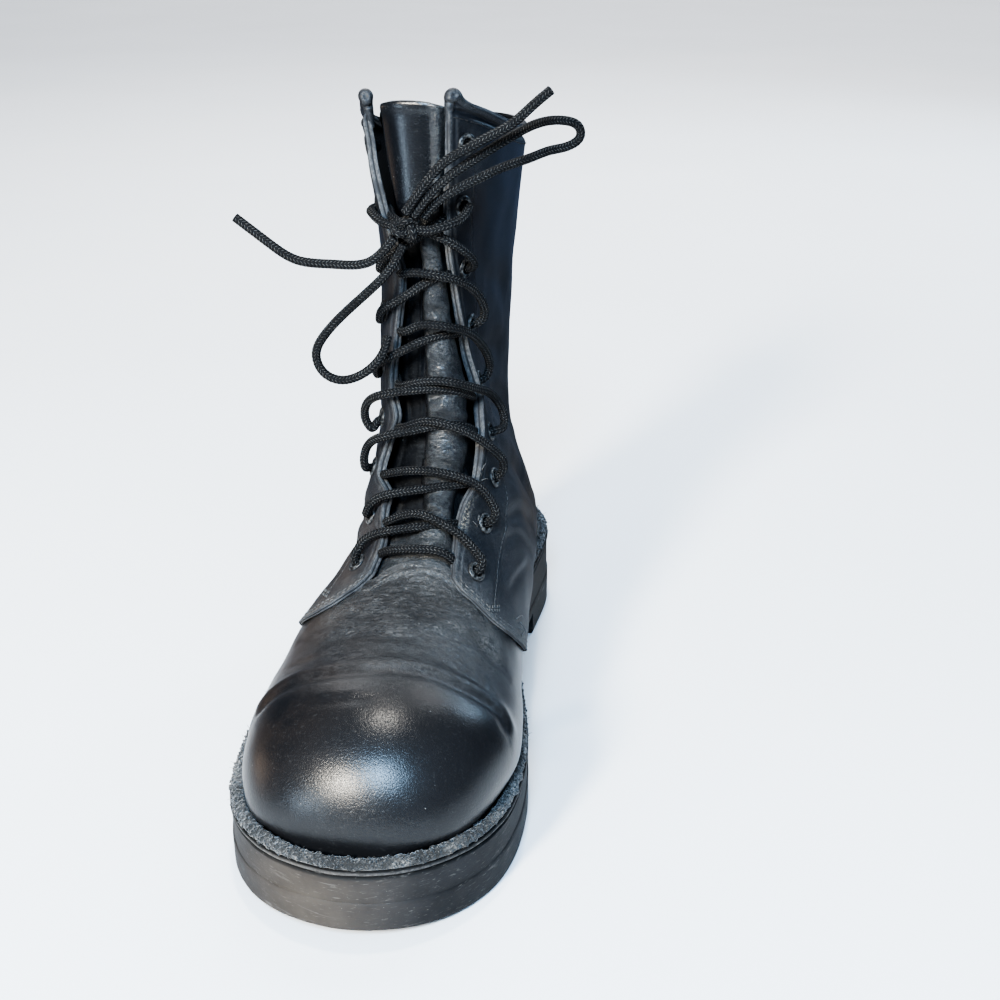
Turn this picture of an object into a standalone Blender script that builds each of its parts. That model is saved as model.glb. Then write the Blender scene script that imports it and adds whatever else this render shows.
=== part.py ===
"""Steel toe boot for the right foot: a tall black lace-up boot, standing empty on its sole.

All sizes below are in millimetres.  s is the distance back from the toe tip of the sole,
x is positive towards the inner side of the foot, and z is the height over the floor.
The meshes are made in metres: the toe points to -Y and the foot's middle stands at the origin.
"""
import math

import bmesh
import bpy
import numpy as np

MM = 0.001
GAP = 0.3                # free space between pieces that touch on the real boot

# ---- driving sizes -------------------------------------------------------------------
SOLE_LENGTH = 312.0
SOLE_MIDDLE_X = 0.73     # x halfway between the sole's widest places
HEEL_BREAST = 232.0      # s of the front face of the heel
ARCH_START = 160.0       # s where the forefoot leaves the floor
ARCH_RISE = 11.0
TOE_SPRING = 5.0         # rise of the sole's underside at the toe tip
SPRING_LENGTH = 45.0
RIM_HEIGHT = 1.7         # thin lip along the top of the sole's side
RIM_GROOVE = 1.0
PARTING_RISE = 0.44      # height of the parting step, as a part of the side's height
FEATHER_INSET = 8.0      # from the sole's edge in to the foot of the upper
WELT_HEIGHT = 3.4
VAMP_LIFT = -0.6         # outer face of the vamp, from the upper's own surface
QUARTER_LIFT = 0.6       # outer face of the quarters, which lie over the vamp
COLLAR_LIFT = 1.5        # outer face of the collar's bound edge
VAMP_LINING = -2.8       # inner face under the vamp
QUARTER_LINING = -2.0    # inner face behind the quarters
COLLAR_BAND = 7.0        # height of the bound edge, along the place t
VAMP_TOP = 24.0          # place of the vamp's top edge over the throat
FRONT_BLEND = 45.0       # rows bend with the quarters' front edge this far before and after it
STEP_RUN = 0.4           # a step in the wall rises over this distance
TONGUE_THICK = 2.2
TONGUE_UNDER_VAMP = -3.8  # its outer face where the vamp covers it
TONGUE_UNDER_FLAP = 16.0  # how far it reaches behind each flap
TONGUE_BELOW_COLLAR = 4.0
INSOLE_THICK = 3.5
INSOLE_INSET = 12.9
EDGE_BEVEL = 1.2         # lower edge of the sole
PARTING_STEP = 0.5
TREAD_PITCH = 15.0
TREAD_BORDER = 9.0
TREAD_SWEEP = 9.0        # how far a chevron's arms run back
GROOVE_WIDTH = 5.0
GROOVE_DEPTH = 4.0
WELT_OUTER_INSET = 0.9
WELT_FOOT_INSET = 6.0
EYELET_RIM = 4.4
EYELET_BARREL = 2.9
EYELET_BORE = 2.3
EYELET_HOLE = 3.4        # hole in the leather
EYELET_SEAT = 0.5       # a rim lies this far over the curved leather
LACE = 3.7               # diameter of the round lace
STRAND_REST = 2.8       # the lace's first point over an eyelet
CROSSING_LIFT = 3.8      # the lace's middle where two strands cross
FLAP_CLEAR = 3.6         # a strand ends this far from the flap that it runs behind
KNOT_CENTRE = (-2.5, 157.0, 218.5)
KNOT_SIZE = (5.4, 4.0, 5.4)
CORD_STEP = 2.1          # distance between a free lace's points, in diameters

# ---- mesh densities ------------------------------------------------------------------
SOLE_POINTS = 72
INSOLE_POINTS = 56
SIDE_COLUMNS = 10        # on the upper, from the foot to a flap's edge
MIDDLE_COLUMNS = 5       # on the upper, between the flaps' edges
EYELET_SIDES = 8
HOLE_SIDES = 10
STRAND_SIDES = 6
STRAND_POINTS = 8

# Outline of the sole: distance from the toe tip, and the inner and outer edge at that place.
SOLE_OUTLINE = (
    # s, inner x, outer x
    (0.0, 7.5, 7.5),
    (3.0, 22.0, -10.0),
    (10.0, 34.5, -24.0),
    (22.0, 46.0, -37.0),
    (40.0, 55.5, -47.5),
    (65.0, 59.5, -53.5),
    (95.0, 57.5, -57.0),
    (125.0, 51.0, -58.0),
    (160.0, 42.5, -54.0),
    (195.0, 37.5, -48.5),
    (225.0, 36.5, -43.5),
    (255.0, 38.0, -41.0),
    (282.0, 35.5, -36.5),
    (299.0, 26.0, -27.0),
    (309.0, 13.0, -14.0),
    (312.0, 0.0, 0.0),
)

# Height of the sole's rim over the floor.
RIM_LINE = (
    # s, z
    (0.0, 30.5),
    (15.0, 28.6),
    (35.0, 27.2),
    (70.0, 26.6),
    (120.0, 26.8),
    (165.0, 29.5),
    (210.0, 33.5),
    (260.0, 36.5),
    (312.0, 38.5),
)

# Edges of the two flaps: their distances from the top line, along the upper's surface, at
# the place "up" over the throat.  The raw edges wave where the lace pulls on them.
FLAP_EDGES = (
    # up, inner, outer
    (0.0, 13.2, 22.5),
    (20.0, 13.2, 22.0),
    (40.0, 13.8, 19.5),
    (63.0, 14.8, 20.0),
    (71.0, 16.5, 18.5),
    (84.0, 21.5, 25.5),
    (92.0, 23.2, 24.5),
    (103.0, 25.5, 19.0),
    (113.0, 27.2, 14.8),
    (121.0, 28.5, 16.8),
    (130.0, 32.0, 17.3),
    (145.0, 27.5, 14.0),
    (165.0, 20.0, 10.8),
    (185.0, 14.5, 8.6),
    (205.0, 12.0, 12.0),
    (231.0, 12.3, 19.3),
    (255.0, 14.2, 24.8),
    (282.5, 15.6, 23.6),
)

# Middles of the eyelets: the place over the throat and the distances from the top line.
EYELETS = (
    # up, inner, outer
    (24.0, 23.5, 32.5),
    (59.0, 27.5, 31.0),
    (90.0, 35.5, 34.0),
    (115.0, 38.0, 28.5),
    (141.5, 39.5, 25.0),
    (169.0, 30.5, 21.0),
    (196.5, 22.0, 20.5),
    (229.5, 20.0, 27.5),
    (262.5, 22.5, 32.5),
)

# Front edge of the quarters: the place over the throat, at parts of the way down from a
# flap's edge (0) to the sole (1).
QUARTER_FRONT = (
    # part, inner, outer
    (0.0, 14.0, 14.0),
    (0.04, 8.0, 6.0),
    (0.10, 3.5, -1.0),
    (0.17, -0.5, -6.0),
    (0.25, -3.7, -9.0),
    (0.36, -5.0, -10.0),
    (0.50, -4.0, -8.0),
    (0.65, -1.0, -3.5),
    (0.80, 3.5, 2.0),
    (1.0, 10.0, 9.0),
)

# The tongue's outer face between the flaps, from the outer flap's edge (-1) to the inner
# one's (1), as a rise over the upper's own surface: a deep fold beside the outer flap.
TONGUE_PROFILE = (
    # across, lift
    (-1.9, -4.6),
    (-1.0, -5.0),
    (-0.7, -6.0),
    (-0.35, -4.0),
    (0.0, -2.0),
    (0.5, -1.0),
    (1.0, -3.4),
    (1.9, -3.6),
)

# Distance in from the sole's edge to the top of the welt's strip, which leans on the upper.
WELT_LEAN = (
    # s, inner side, outer side
    (0.0, 4.7, 4.7),
    (40.0, 4.2, 5.4),
    (80.0, 3.6, 5.4),
    (130.0, 3.2, 5.2),
    (155.0, 2.1, 5.0),
    (210.0, 2.1, 5.0),
    (235.0, 2.8, 5.0),
    (265.0, 3.6, 4.8),
    (300.0, 4.2, 4.2),
)

# First and last groove of the forefoot's and the heel's tread.
TREAD_FIELDS = (
    # first s, last s
    (34.0, 140.0),
    (244.0, 290.0),
)

# Last points of the two ties that reach the knot.
TIE_INNER = (
    # x, s, z
    (9.5, 159.9, 219.8),
    (4.0, 159.3, 217.2),
)
TIE_OUTER = (
    # x, s, z
    (-12.5, 160.6, 220.0),
    (-8.4, 159.2, 218.6),
)

# Routes of the bow's free lace.
END_LEFT = (
    # x, s, z
    (-7.1, 155.0, 215.1),
    (-11.5, 154.3, 209.6),
    (-17.0, 154.0, 205.2),
    (-32.0, 152.0, 204.0),
    (-46.5, 150.0, 205.8),
    (-56.8, 150.0, 211.8),
    (-70.2, 150.0, 221.6),
)
LOOP_LEFT = (
    # x, s, z
    (-4.2, 158.3, 211.6),
    (-8.9, 156.5, 202.8),
    (-17.0, 154.0, 194.0),
    (-26.0, 152.0, 185.8),
    (-36.5, 150.0, 174.5),
    (-40.0, 150.0, 167.0),
    (-37.5, 150.0, 159.5),
    (-30.8, 151.0, 156.0),
    (-22.8, 153.0, 157.8),
    (-16.5, 155.0, 162.7),
    (-13.6, 158.0, 167.5),
    (-12.8, 161.0, 172.5),
)
LOOP_RIGHT = (
    # x, s, z
    (0.9, 155.2, 223.8),
    (8.2, 155.5, 233.0),
    (17.3, 157.5, 240.8),
    (26.5, 161.0, 246.8),
    (35.4, 166.0, 252.2),
    (41.5, 174.0, 255.3),
    (48.5, 184.0, 257.0),
    (55.5, 190.0, 256.5),
    (60.5, 193.0, 253.6),
    (60.8, 194.0, 249.8),
    (57.0, 192.0, 246.6),
    (50.3, 186.5, 245.4),
    (43.2, 178.0, 243.6),
    (34.6, 170.0, 241.4),
    (26.1, 163.5, 238.0),
    (16.9, 160.0, 233.6),
    (9.0, 159.5, 228.2),
    (3.8, 159.3, 222.6),
)
END_RIGHT = (
    # x, s, z
    (-1.8, 152.8, 225.4),
    (3.0, 152.8, 232.2),
    (8.8, 153.0, 239.9),
    (14.9, 153.5, 245.8),
    (21.7, 154.0, 250.0),
    (30.3, 156.0, 254.6),
    (39.4, 159.5, 259.6),
    (46.6, 163.0, 265.9),
    (52.9, 167.0, 271.2),
)

# Sections of the upper.  Each lies in the plane through a point of the top line and a point
# of the foot, and widens from the foot to its widest place before it closes at the top line.
# A foot height of 0 means that the foot stands on the sole, where the sole's top is.
UPPER_COLUMNS = ("top_s", "top_z", "top_x", "foot_s", "foot_z", "inner", "outer", "widest",
                 "fullness", "roundness", "dip")
UPPER_ROWS = (
    # top_s, top_z, top_x, foot_s, foot_z, inner, outer, widest, fullness, roundness, dip
    (8.0, 30.6, 7.5, 13.0, 0.0, 27.0, 15.0, 0.02, 1.0, 2.0, 0.0),
    (9.0, 41.0, 7.5, 24.0, 0.0, 39.5, 29.5, 0.12, 1.0, 2.0, 0.0),
    (15.0, 55.0, 7.5, 37.0, 0.0, 49.0, 38.5, 0.19, 1.0, 2.0, 0.0),
    (27.0, 67.0, 7.0, 52.0, 0.0, 55.0, 43.5, 0.24, 1.0, 2.0, 0.0),
    (44.0, 74.5, 6.5, 70.0, 0.0, 59.0, 45.5, 0.26, 1.0, 2.0, 0.0),
    (63.0, 77.5, 6.0, 92.0, 0.0, 57.5, 47.5, 0.26, 1.0, 1.7, 0.0),
    (85.0, 78.0, 7.0, 118.0, 0.0, 53.0, 47.0, 0.26, 1.0, 1.6, 0.0),
    (112.0, 81.5, 9.0, 152.0, 0.0, 47.5, 44.0, 0.22, 1.0, 2.3, 0.0),
    (128.0, 92.5, 8.0, 195.0, 0.0, 44.0, 38.0, 0.27, 1.1, 2.0, 0.0),
    (143.0, 106.5, 6.5, 240.0, 0.0, 39.5, 33.5, 0.28, 0.9, 2.7, 0.0),
    (155.0, 125.0, 5.0, 280.0, 0.0, 33.0, 29.0, 0.26, 0.65, 3.8, 0.0),
    (161.0, 142.0, 4.0, 304.0, 0.0, 27.5, 26.5, 0.20, 0.5, 4.7, 0.0),
    (166.0, 166.0, 2.0, 305.0, 72.0, 18.5, 25.5, 0.29, 0.42, 4.9, 0.0),
    (168.0, 191.0, 1.0, 296.0, 112.0, 18.5, 24.0, 0.36, 0.42, 4.3, 0.0),
    (167.5, 218.0, 0.0, 292.0, 158.0, 22.0, 24.5, 0.42, 0.42, 3.6, 2.0),
    (168.5, 243.0, -1.5, 294.0, 204.0, 25.5, 27.5, 0.44, 0.42, 3.3, 5.0),
    (169.0, 268.0, -3.0, 299.0, 243.0, 29.0, 32.5, 0.44, 0.42, 3.3, 7.5),
)
THROAT_ROW = 7           # the throat's section; places over it are given by the height "up"
HEEL_ROW = 11            # the foot reaches the back of the heel at this section


def spline(knots, values, at):
    """Natural cubic spline through the values at the knots, read at other places."""
    x = np.asarray(knots, float)
    y = np.asarray(values, float).reshape(len(x), -1)
    at = np.asarray(at, float)
    step = np.diff(x)
    size = len(x)
    matrix = np.zeros((size, size))
    right = np.zeros_like(y)
    matrix[0, 0] = 1.0
    matrix[-1, -1] = 1.0
    slope = np.diff(y, axis=0) / step[:, None]
    for i in range(1, size - 1):
        matrix[i, i - 1:i + 2] = (step[i - 1], 2 * (step[i - 1] + step[i]), step[i])
        right[i] = 3 * (slope[i] - slope[i - 1])
    bend = np.linalg.solve(matrix, right)
    rise = slope - step[:, None] * (2 * bend[:-1] + bend[1:]) / 3
    twist = np.diff(bend, axis=0) / (3 * step[:, None])
    k = np.clip(np.searchsorted(x, at.ravel(), side="right") - 1, 0, size - 2)
    u = (at.ravel() - x[k])[:, None]
    result = y[k] + u * (rise[k] + u * (bend[k] + u * twist[k]))
    return result.reshape(at.shape + (y.shape[1],)) if y.shape[1] > 1 else result[:, 0].reshape(at.shape)


def along(points):
    """Distance along a line of points."""
    steps = np.linalg.norm(np.diff(points, axis=0), axis=1)
    return np.concatenate(([0.0], np.cumsum(steps)))


def closed_curve(points, count):
    """Smooth closed curve through the points, as evenly spaced points."""
    wrap = 3
    ring = np.vstack([points[-wrap:], points, points[:wrap + 1]])
    length = along(ring)
    fine = spline(length, ring, np.linspace(length[wrap], length[-wrap - 1], 12 * count + 1))
    travelled = along(fine)
    even = np.linspace(0.0, travelled[-1], count, endpoint=False)
    return np.stack([np.interp(even, travelled, fine[:, i]) for i in range(2)], axis=1)


def sole_ring(count, inset=0.0):
    """Points (x, s) of the sole's outline from the heel round the outer side, moved inwards."""
    outer = [(row[2], row[0]) for row in reversed(SOLE_OUTLINE)]
    inner = [(row[1], row[0]) for row in SOLE_OUTLINE[1:-1]]
    ring = closed_curve(np.array(outer + inner), count)
    ahead = np.roll(ring, -1, axis=0) - np.roll(ring, 1, axis=0)
    outward = np.stack([ahead[:, 1], -ahead[:, 0]], axis=1)
    outward /= np.linalg.norm(outward, axis=1)[:, None]
    return ring - inset * outward


def ring_x(ring, side, s):
    """Inner (side 1) or outer (side -1) edge of a ring at the distances s."""
    tip = ring[:, 1].argmin()
    half = ring[tip:] if side > 0 else ring[tip::-1]
    if side > 0:
        half = np.vstack([half, ring[:1]])
    return np.interp(s, half[:, 1], half[:, 0])


def rim_z(s):
    return spline([r[0] for r in RIM_LINE], [r[1] for r in RIM_LINE], s)


def floor_z(s):
    """Underside of the sole before the arch is cut."""
    return TOE_SPRING * np.clip((SPRING_LENGTH - np.asarray(s)) / SPRING_LENGTH, 0.0, 1.0) ** 2


FEATHER = sole_ring(720, FEATHER_INSET)
FEATHER_BACK = FEATHER[:, 1].max()


def row_places():
    """Place t of each table row: the mean distance travelled by its top and foot points."""
    rows = np.array(UPPER_ROWS)
    foot_z = np.where(rows[:, 4] > 0, rows[:, 4], rim_z(rows[:, 3]) + GAP)
    top = along(rows[:, 0:2])
    foot = along(np.stack([rows[:, 3], foot_z], axis=1))
    return (top + foot) / 2


ROW_T = row_places()
THROAT_T = ROW_T[THROAT_ROW]
HEEL_T = ROW_T[HEEL_ROW]
COLLAR_T = ROW_T[-1]


def section_values(t):
    """The columns of UPPER_ROWS at the places t, as a dictionary of arrays."""
    rows = np.array(UPPER_ROWS)
    rows[:, 4] = np.where(rows[:, 4] > 0, rows[:, 4], rim_z(rows[:, 3]) + GAP)
    table = spline(ROW_T, rows, np.asarray(t, float))
    value = {name: table[..., i] for i, name in enumerate(UPPER_COLUMNS)}
    on_sole = np.asarray(t) <= HEEL_T
    value["foot_s"] = np.where(on_sole, np.minimum(value["foot_s"], FEATHER_BACK), value["foot_s"])
    value["foot_z"] = np.where(on_sole, rim_z(value["foot_s"]) + GAP, value["foot_z"])
    value["on_sole"] = on_sole
    return value


def half_sections(t, side, count):
    """Points (x, s, z) of one half of each section, evenly spaced from the foot to the top."""
    value = section_values(t)
    foot_x = np.where(value["on_sole"], ring_x(FEATHER, side, value["foot_s"]), 0.0)[:, None]
    wide = (value["inner"] if side > 0 else -value["outer"])[:, None]
    wide = np.where(side * wide < side * foot_x, foot_x, wide)
    top_x = value["top_x"][:, None]
    widest = value["widest"][:, None]
    power = value["roundness"][:, None]
    angle = np.linspace(0.0, math.pi / 2, 41)
    low = 1 - np.cos(angle)
    high = np.sin(angle)[1:]
    x_low = foot_x + (wide - foot_x) * (1 - (1 - low) ** 2) ** value["fullness"][:, None]
    x_high = top_x + (wide - top_x) * np.clip(1 - high ** power, 0.0, 1.0) ** (1 / (1.2 + 0.4 * power))
    q = np.concatenate([widest * low, widest + (1 - widest) * high], axis=1)
    x = np.concatenate([x_low, x_high], axis=1)
    s = value["foot_s"][:, None] + q * (value["top_s"] - value["foot_s"])[:, None]
    z = value["foot_z"][:, None] + q * (value["top_z"] - value["foot_z"])[:, None]
    z = z - 4 * q * (1 - q) * value["dip"][:, None]
    return [resample(line, count) for line in np.stack([x, s, z], axis=2)]


def resample(line, count):
    """The line as evenly spaced points."""
    travelled = along(line)
    places = np.linspace(0.0, travelled[-1], count)
    return np.stack([np.interp(places, travelled, line[:, axis]) for axis in range(3)], axis=1)


# The surface is kept as a fine grid: one row per place t, with columns from the outer foot over
# the top line to the inner foot.  Points are read from it by t and by the distance d from the
# top line along the surface, which is positive on the inner side.
GRID_ROWS = 360
GRID_HALF = 100


def surface_grid():
    places = np.linspace(0.0, COLLAR_T, GRID_ROWS)
    outer = np.array(half_sections(places, -1, GRID_HALF))
    inner = np.array(half_sections(places, 1, GRID_HALF))
    points = np.concatenate([outer, inner[:, -2::-1]], axis=1)
    down = np.gradient(points, axis=0)
    across = np.gradient(points, axis=1)
    normals = np.cross(across, down)
    normals /= np.linalg.norm(normals, axis=2)[:, :, None] + 1e-12
    lengths = [np.linalg.norm(np.diff(half, axis=1), axis=2).sum(axis=1) for half in (outer, inner)]
    return places, points, normals, lengths


PLACES, POINTS, NORMALS, (OUTER_LENGTH, INNER_LENGTH) = surface_grid()


def column_of(t, d):
    """Column of the grid at the distance d from the top line."""
    half = np.where(d > 0, np.interp(t, PLACES, INNER_LENGTH), np.interp(t, PLACES, OUTER_LENGTH))
    return (GRID_HALF - 1) * (1 + np.clip(np.asarray(d, float) / half, -1.0, 1.0))


def on_surface(t, d, lift=0.0):
    """Point (x, s, z) at the place t and distance d, raised along the surface's normal."""
    t = np.asarray(t, float)
    row = np.clip(np.interp(t, PLACES, np.arange(GRID_ROWS)), 0, GRID_ROWS - 1.001)
    column = np.clip(column_of(t, d), 0, 2 * GRID_HALF - 2.001)
    i, j = row.astype(int), column.astype(int)
    u, v = (row - i)[..., None], (column - j)[..., None]
    corners = ((0, 0, (1 - u) * (1 - v)), (1, 0, u * (1 - v)), (0, 1, (1 - u) * v), (1, 1, u * v))
    point = sum(weight * POINTS[i + a, j + b] for a, b, weight in corners)
    normal = sum(weight * NORMALS[i + a, j + b] for a, b, weight in corners)
    normal = normal / np.linalg.norm(normal, axis=-1)[..., None]
    return point + np.asarray(lift, float)[..., None] * normal, normal


def foot_distance(t, side):
    """Distance along the surface from the top line to the foot."""
    return np.interp(t, PLACES, INNER_LENGTH if side > 0 else OUTER_LENGTH)


def gap(t, side):
    """Distance along the surface from the top line to the flap's edge."""
    table = np.array(FLAP_EDGES)
    up = np.clip(t - THROAT_T, table[0, 0], table[-1, 0])
    return float(spline(table[:, 0], table[:, 1 if side > 0 else 2], up))


def eyelet_place(pair):
    """Place t of an eyelet pair, counted up from 0 at the throat."""
    return THROAT_T + EYELETS[pair][0]


def eyelet_distance(pair, side):
    return side * EYELETS[pair][1 if side > 0 else 2]


# ---- Blender pieces ------------------------------------------------------------------


def metres(points):
    """Points (x, s, z) in millimetres as Blender's (x, y, z) in metres."""
    points = np.asarray(points, float)
    moved = points - np.array([SOLE_MIDDLE_X, SOLE_LENGTH / 2, 0.0])
    return moved * MM


def material(name, colour, roughness, metallic=0.0):
    made = bpy.data.materials.new(name)
    made.use_nodes = True
    shader = made.node_tree.nodes["Principled BSDF"]
    shader.inputs["Base Color"].default_value = (*colour, 1.0)
    shader.inputs["Roughness"].default_value = roughness
    shader.inputs["Metallic"].default_value = metallic
    return made


def add_mesh(name, points, faces, finish, smooth_angle=40.0):
    """A mesh object from points in millimetres, with its faces turned outwards."""
    mesh = bpy.data.meshes.new(name)
    mesh.from_pydata([tuple(p) for p in metres(points)], [], faces)
    shell = bmesh.new()
    shell.from_mesh(mesh)
    bmesh.ops.remove_doubles(shell, verts=shell.verts, dist=1e-6)
    bmesh.ops.recalc_face_normals(shell, faces=shell.faces)
    shell.to_mesh(mesh)
    shell.free()
    mesh.shade_smooth()
    mesh.set_sharp_from_angle(angle=math.radians(smooth_angle))
    piece = bpy.data.objects.new(name, mesh)
    bpy.context.scene.collection.objects.link(piece)
    if finish is not None:
        mesh.materials.append(finish)
    return piece


def cut(piece, cutter, operation="DIFFERENCE"):
    """Boolean that stays on the piece; its cutter is hidden from the build."""
    cutter.hide_render = True
    cutter.display_type = "WIRE"
    change = piece.modifiers.new("cut " + cutter.name, "BOOLEAN")
    change.operation = operation
    change.object = cutter


def strips(first, second, count):
    """Faces between two closed loops of points."""
    return [(first + i, first + (i + 1) % count, second + (i + 1) % count, second + i)
            for i in range(count)]


def plate_faces(start, count):
    """Faces across a loop that runs from the heel round to the toe and back."""
    half = count // 2
    faces = [(start, start + 1, start + count - 1)]
    for i in range(1, half - 1):
        faces.append((start + i, start + i + 1, start + count - i - 1, start + count - i))
    faces.append((start + half - 1, start + half, start + half + 1))
    return faces


def ring_solid(name, levels, count, finish):
    """A solid between loops of the sole's outline: levels of (inset, height function)."""
    points = []
    faces = []
    for inset, height in levels:
        ring = sole_ring(count, inset)
        points.append(np.column_stack([ring, height(ring[:, 1])]))
    for i in range(len(levels) - 1):
        faces += strips(i * count, (i + 1) * count, count)
    faces += plate_faces(0, count)
    faces += plate_faces((len(levels) - 1) * count, count)
    return add_mesh(name, np.vstack(points), faces, finish)


def prism(outline, low, high, along_x=False):
    """A cutter: an outline raised from low to high, or laid across the sole in the s-z plane."""
    count = len(outline)
    points = []
    for level in (low, high):
        for a, b in outline:
            points.append((level, a, b) if along_x else (a, b, level))
    faces = strips(0, count, count)
    faces.append(tuple(range(count)))
    faces.append(tuple(range(count, 2 * count)))
    return points, faces


def joined_cutter(name, shapes):
    points = []
    faces = []
    for shape_points, shape_faces in shapes:
        offset = len(points)
        points += list(shape_points)
        faces += [tuple(offset + i for i in face) for face in shape_faces]
    return add_mesh(name, points, faces, None)


def tread_grooves():
    """Chevron grooves between the main lugs, inside an uncut border."""
    border = sole_ring(720, TREAD_BORDER)
    shapes = []
    for first, last in TREAD_FIELDS:
        count = int((last - first) // TREAD_PITCH) + 1
        for i in range(count):
            s = first + i * TREAD_PITCH
            middle = (ring_x(border, 1, s) + ring_x(border, -1, s)) / 2
            arms = []
            for side in (1, -1):
                arms.append((ring_x(border, side, s + TREAD_SWEEP), s + TREAD_SWEEP))
            inner, outer = arms
            outline = [outer, (middle, s), inner]
            outline += [(x, place + GROOVE_WIDTH) for x, place in reversed(outline)]
            shapes.append(prism(outline, -5.0, GROOVE_DEPTH))
    return shapes


def arch_shape():
    """The space under the waist: a curved rise from the forefoot and the heel's front face."""
    outline = [(ARCH_START, -5.0), (HEEL_BREAST, -5.0), (HEEL_BREAST, ARCH_RISE)]
    for i in range(7):
        part = 1 - i / 7
        s = ARCH_START + part * (HEEL_BREAST - 12.0 - ARCH_START)
        outline.append((s, ARCH_RISE * math.sin(part * math.pi / 2) ** 1.5))
    return prism(outline, -90.0, 90.0, along_x=True)


def build_outsole(finish):
    def part_height(part, extra):
        return lambda s: floor_z(s) + part * (rim_z(s) - floor_z(s)) + extra

    levels = (
        (EDGE_BEVEL, part_height(0.0, 0.0)),
        (0.0, part_height(0.0, EDGE_BEVEL)),
        (0.0, part_height(PARTING_RISE, 0.0)),
        (PARTING_STEP, part_height(PARTING_RISE, PARTING_STEP)),
        (PARTING_STEP, part_height(1.0, -RIM_HEIGHT - 2 * RIM_GROOVE)),
        (PARTING_STEP + RIM_GROOVE, part_height(1.0, -RIM_HEIGHT - RIM_GROOVE)),
        (0.0, part_height(1.0, -RIM_HEIGHT)),
        (0.0, part_height(1.0, -0.3)),
        (0.3, part_height(1.0, 0.0)),
    )
    sole = ring_solid("outsole", levels, SOLE_POINTS, finish)
    cut(sole, joined_cutter("sole_cutter", [arch_shape()] + tread_grooves()))
    return sole


def build_welt(finish):
    """Strip of frayed grey felt on the rim, round the foot of the upper."""
    count = SOLE_POINTS
    outer = sole_ring(count, WELT_OUTER_INSET)
    shoulder = sole_ring(count, WELT_OUTER_INSET + 0.8)
    outline = sole_ring(count, 0.0)
    top = []
    foot = sole_ring(count, WELT_FOOT_INSET)
    inward = foot - outline
    inward /= np.linalg.norm(inward, axis=1)[:, None]
    table = np.array(WELT_LEAN)
    for (x, s), direction in zip(outline, inward):
        column = 1 if x > 5.0 else 2
        top.append(np.array([x, s]) + direction * np.interp(s, table[:, 0], table[:, column]))
    top = np.array(top)
    rings = ((outer, GAP), (shoulder, WELT_HEIGHT - 0.8), (top, WELT_HEIGHT), (foot, GAP))
    points = [np.column_stack([ring, rim_z(ring[:, 1]) + rise]) for ring, rise in rings]
    faces = []
    for i in range(4):
        faces += strips(i * count, (i + 1) % 4 * count, count)
    return add_mesh("welt", np.vstack(points), faces, finish)


def build_insole(finish):
    levels = (
        (INSOLE_INSET, lambda s: rim_z(s) + GAP),
        (INSOLE_INSET, lambda s: rim_z(s) + GAP + INSOLE_THICK - 1.0),
        (INSOLE_INSET + 1.0, lambda s: rim_z(s) + GAP + INSOLE_THICK),
    )
    return ring_solid("insole", levels, INSOLE_POINTS, finish)


def upper_places():
    """Places t of the upper's rows: close together at the toe, and in pairs at each step."""
    band = COLLAR_T - COLLAR_BAND
    toe = THROAT_T * (np.linspace(0.0, 1.0, 15)[:-1] ** 1.25)
    start = THROAT_T + VAMP_TOP - bend_share(VAMP_TOP) * QUARTER_FRONT[0][1]
    lower = HEEL_T - (HEEL_T - start) * np.linspace(1.0, 0.0, 10) ** 1.5
    shaft = np.linspace(HEEL_T, band, 11)[1:]
    pair = (THROAT_T, THROAT_T + STEP_RUN)
    return np.concatenate([toe, pair, lower, shaft, (band + STEP_RUN, COLLAR_T)])


def bend_share(up):
    """How far a row bends with the quarters' front edge: fully at up = 0, not at the blend's ends."""
    return np.clip(1 - np.abs(up) / FRONT_BLEND, 0.0, 1.0)


def bent_rows(places):
    """Place t of each row and column, bent along the quarters' front edge."""
    table = np.array(QUARTER_FRONT)
    part = np.linspace(0.0, 1.0, SIDE_COLUMNS + 1)
    outer = np.interp(part[::-1], table[:, 0], table[:, 2])
    inner = np.interp(part, table[:, 0], table[:, 1])
    bend = np.concatenate([outer, np.full(MIDDLE_COLUMNS, table[0, 1]), inner])
    return places[:, None] + bend * bend_share(places - THROAT_T)[:, None]


def upper_columns(t):
    """Distances d of one row's columns, from the outer foot to the inner foot."""
    spread = np.linspace(1.0, 0.0, SIDE_COLUMNS + 1)
    edges = {side: gap(t, side) for side in (-1, 1)}
    outer = -(edges[-1] + (foot_distance(t, -1) - edges[-1]) * spread)
    inner = edges[1] + (foot_distance(t, 1) - edges[1]) * spread[::-1]
    first = STEP_RUN - edges[-1]
    last = edges[1] - STEP_RUN
    return np.concatenate([outer, np.linspace(first, last, MIDDLE_COLUMNS), inner])


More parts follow.
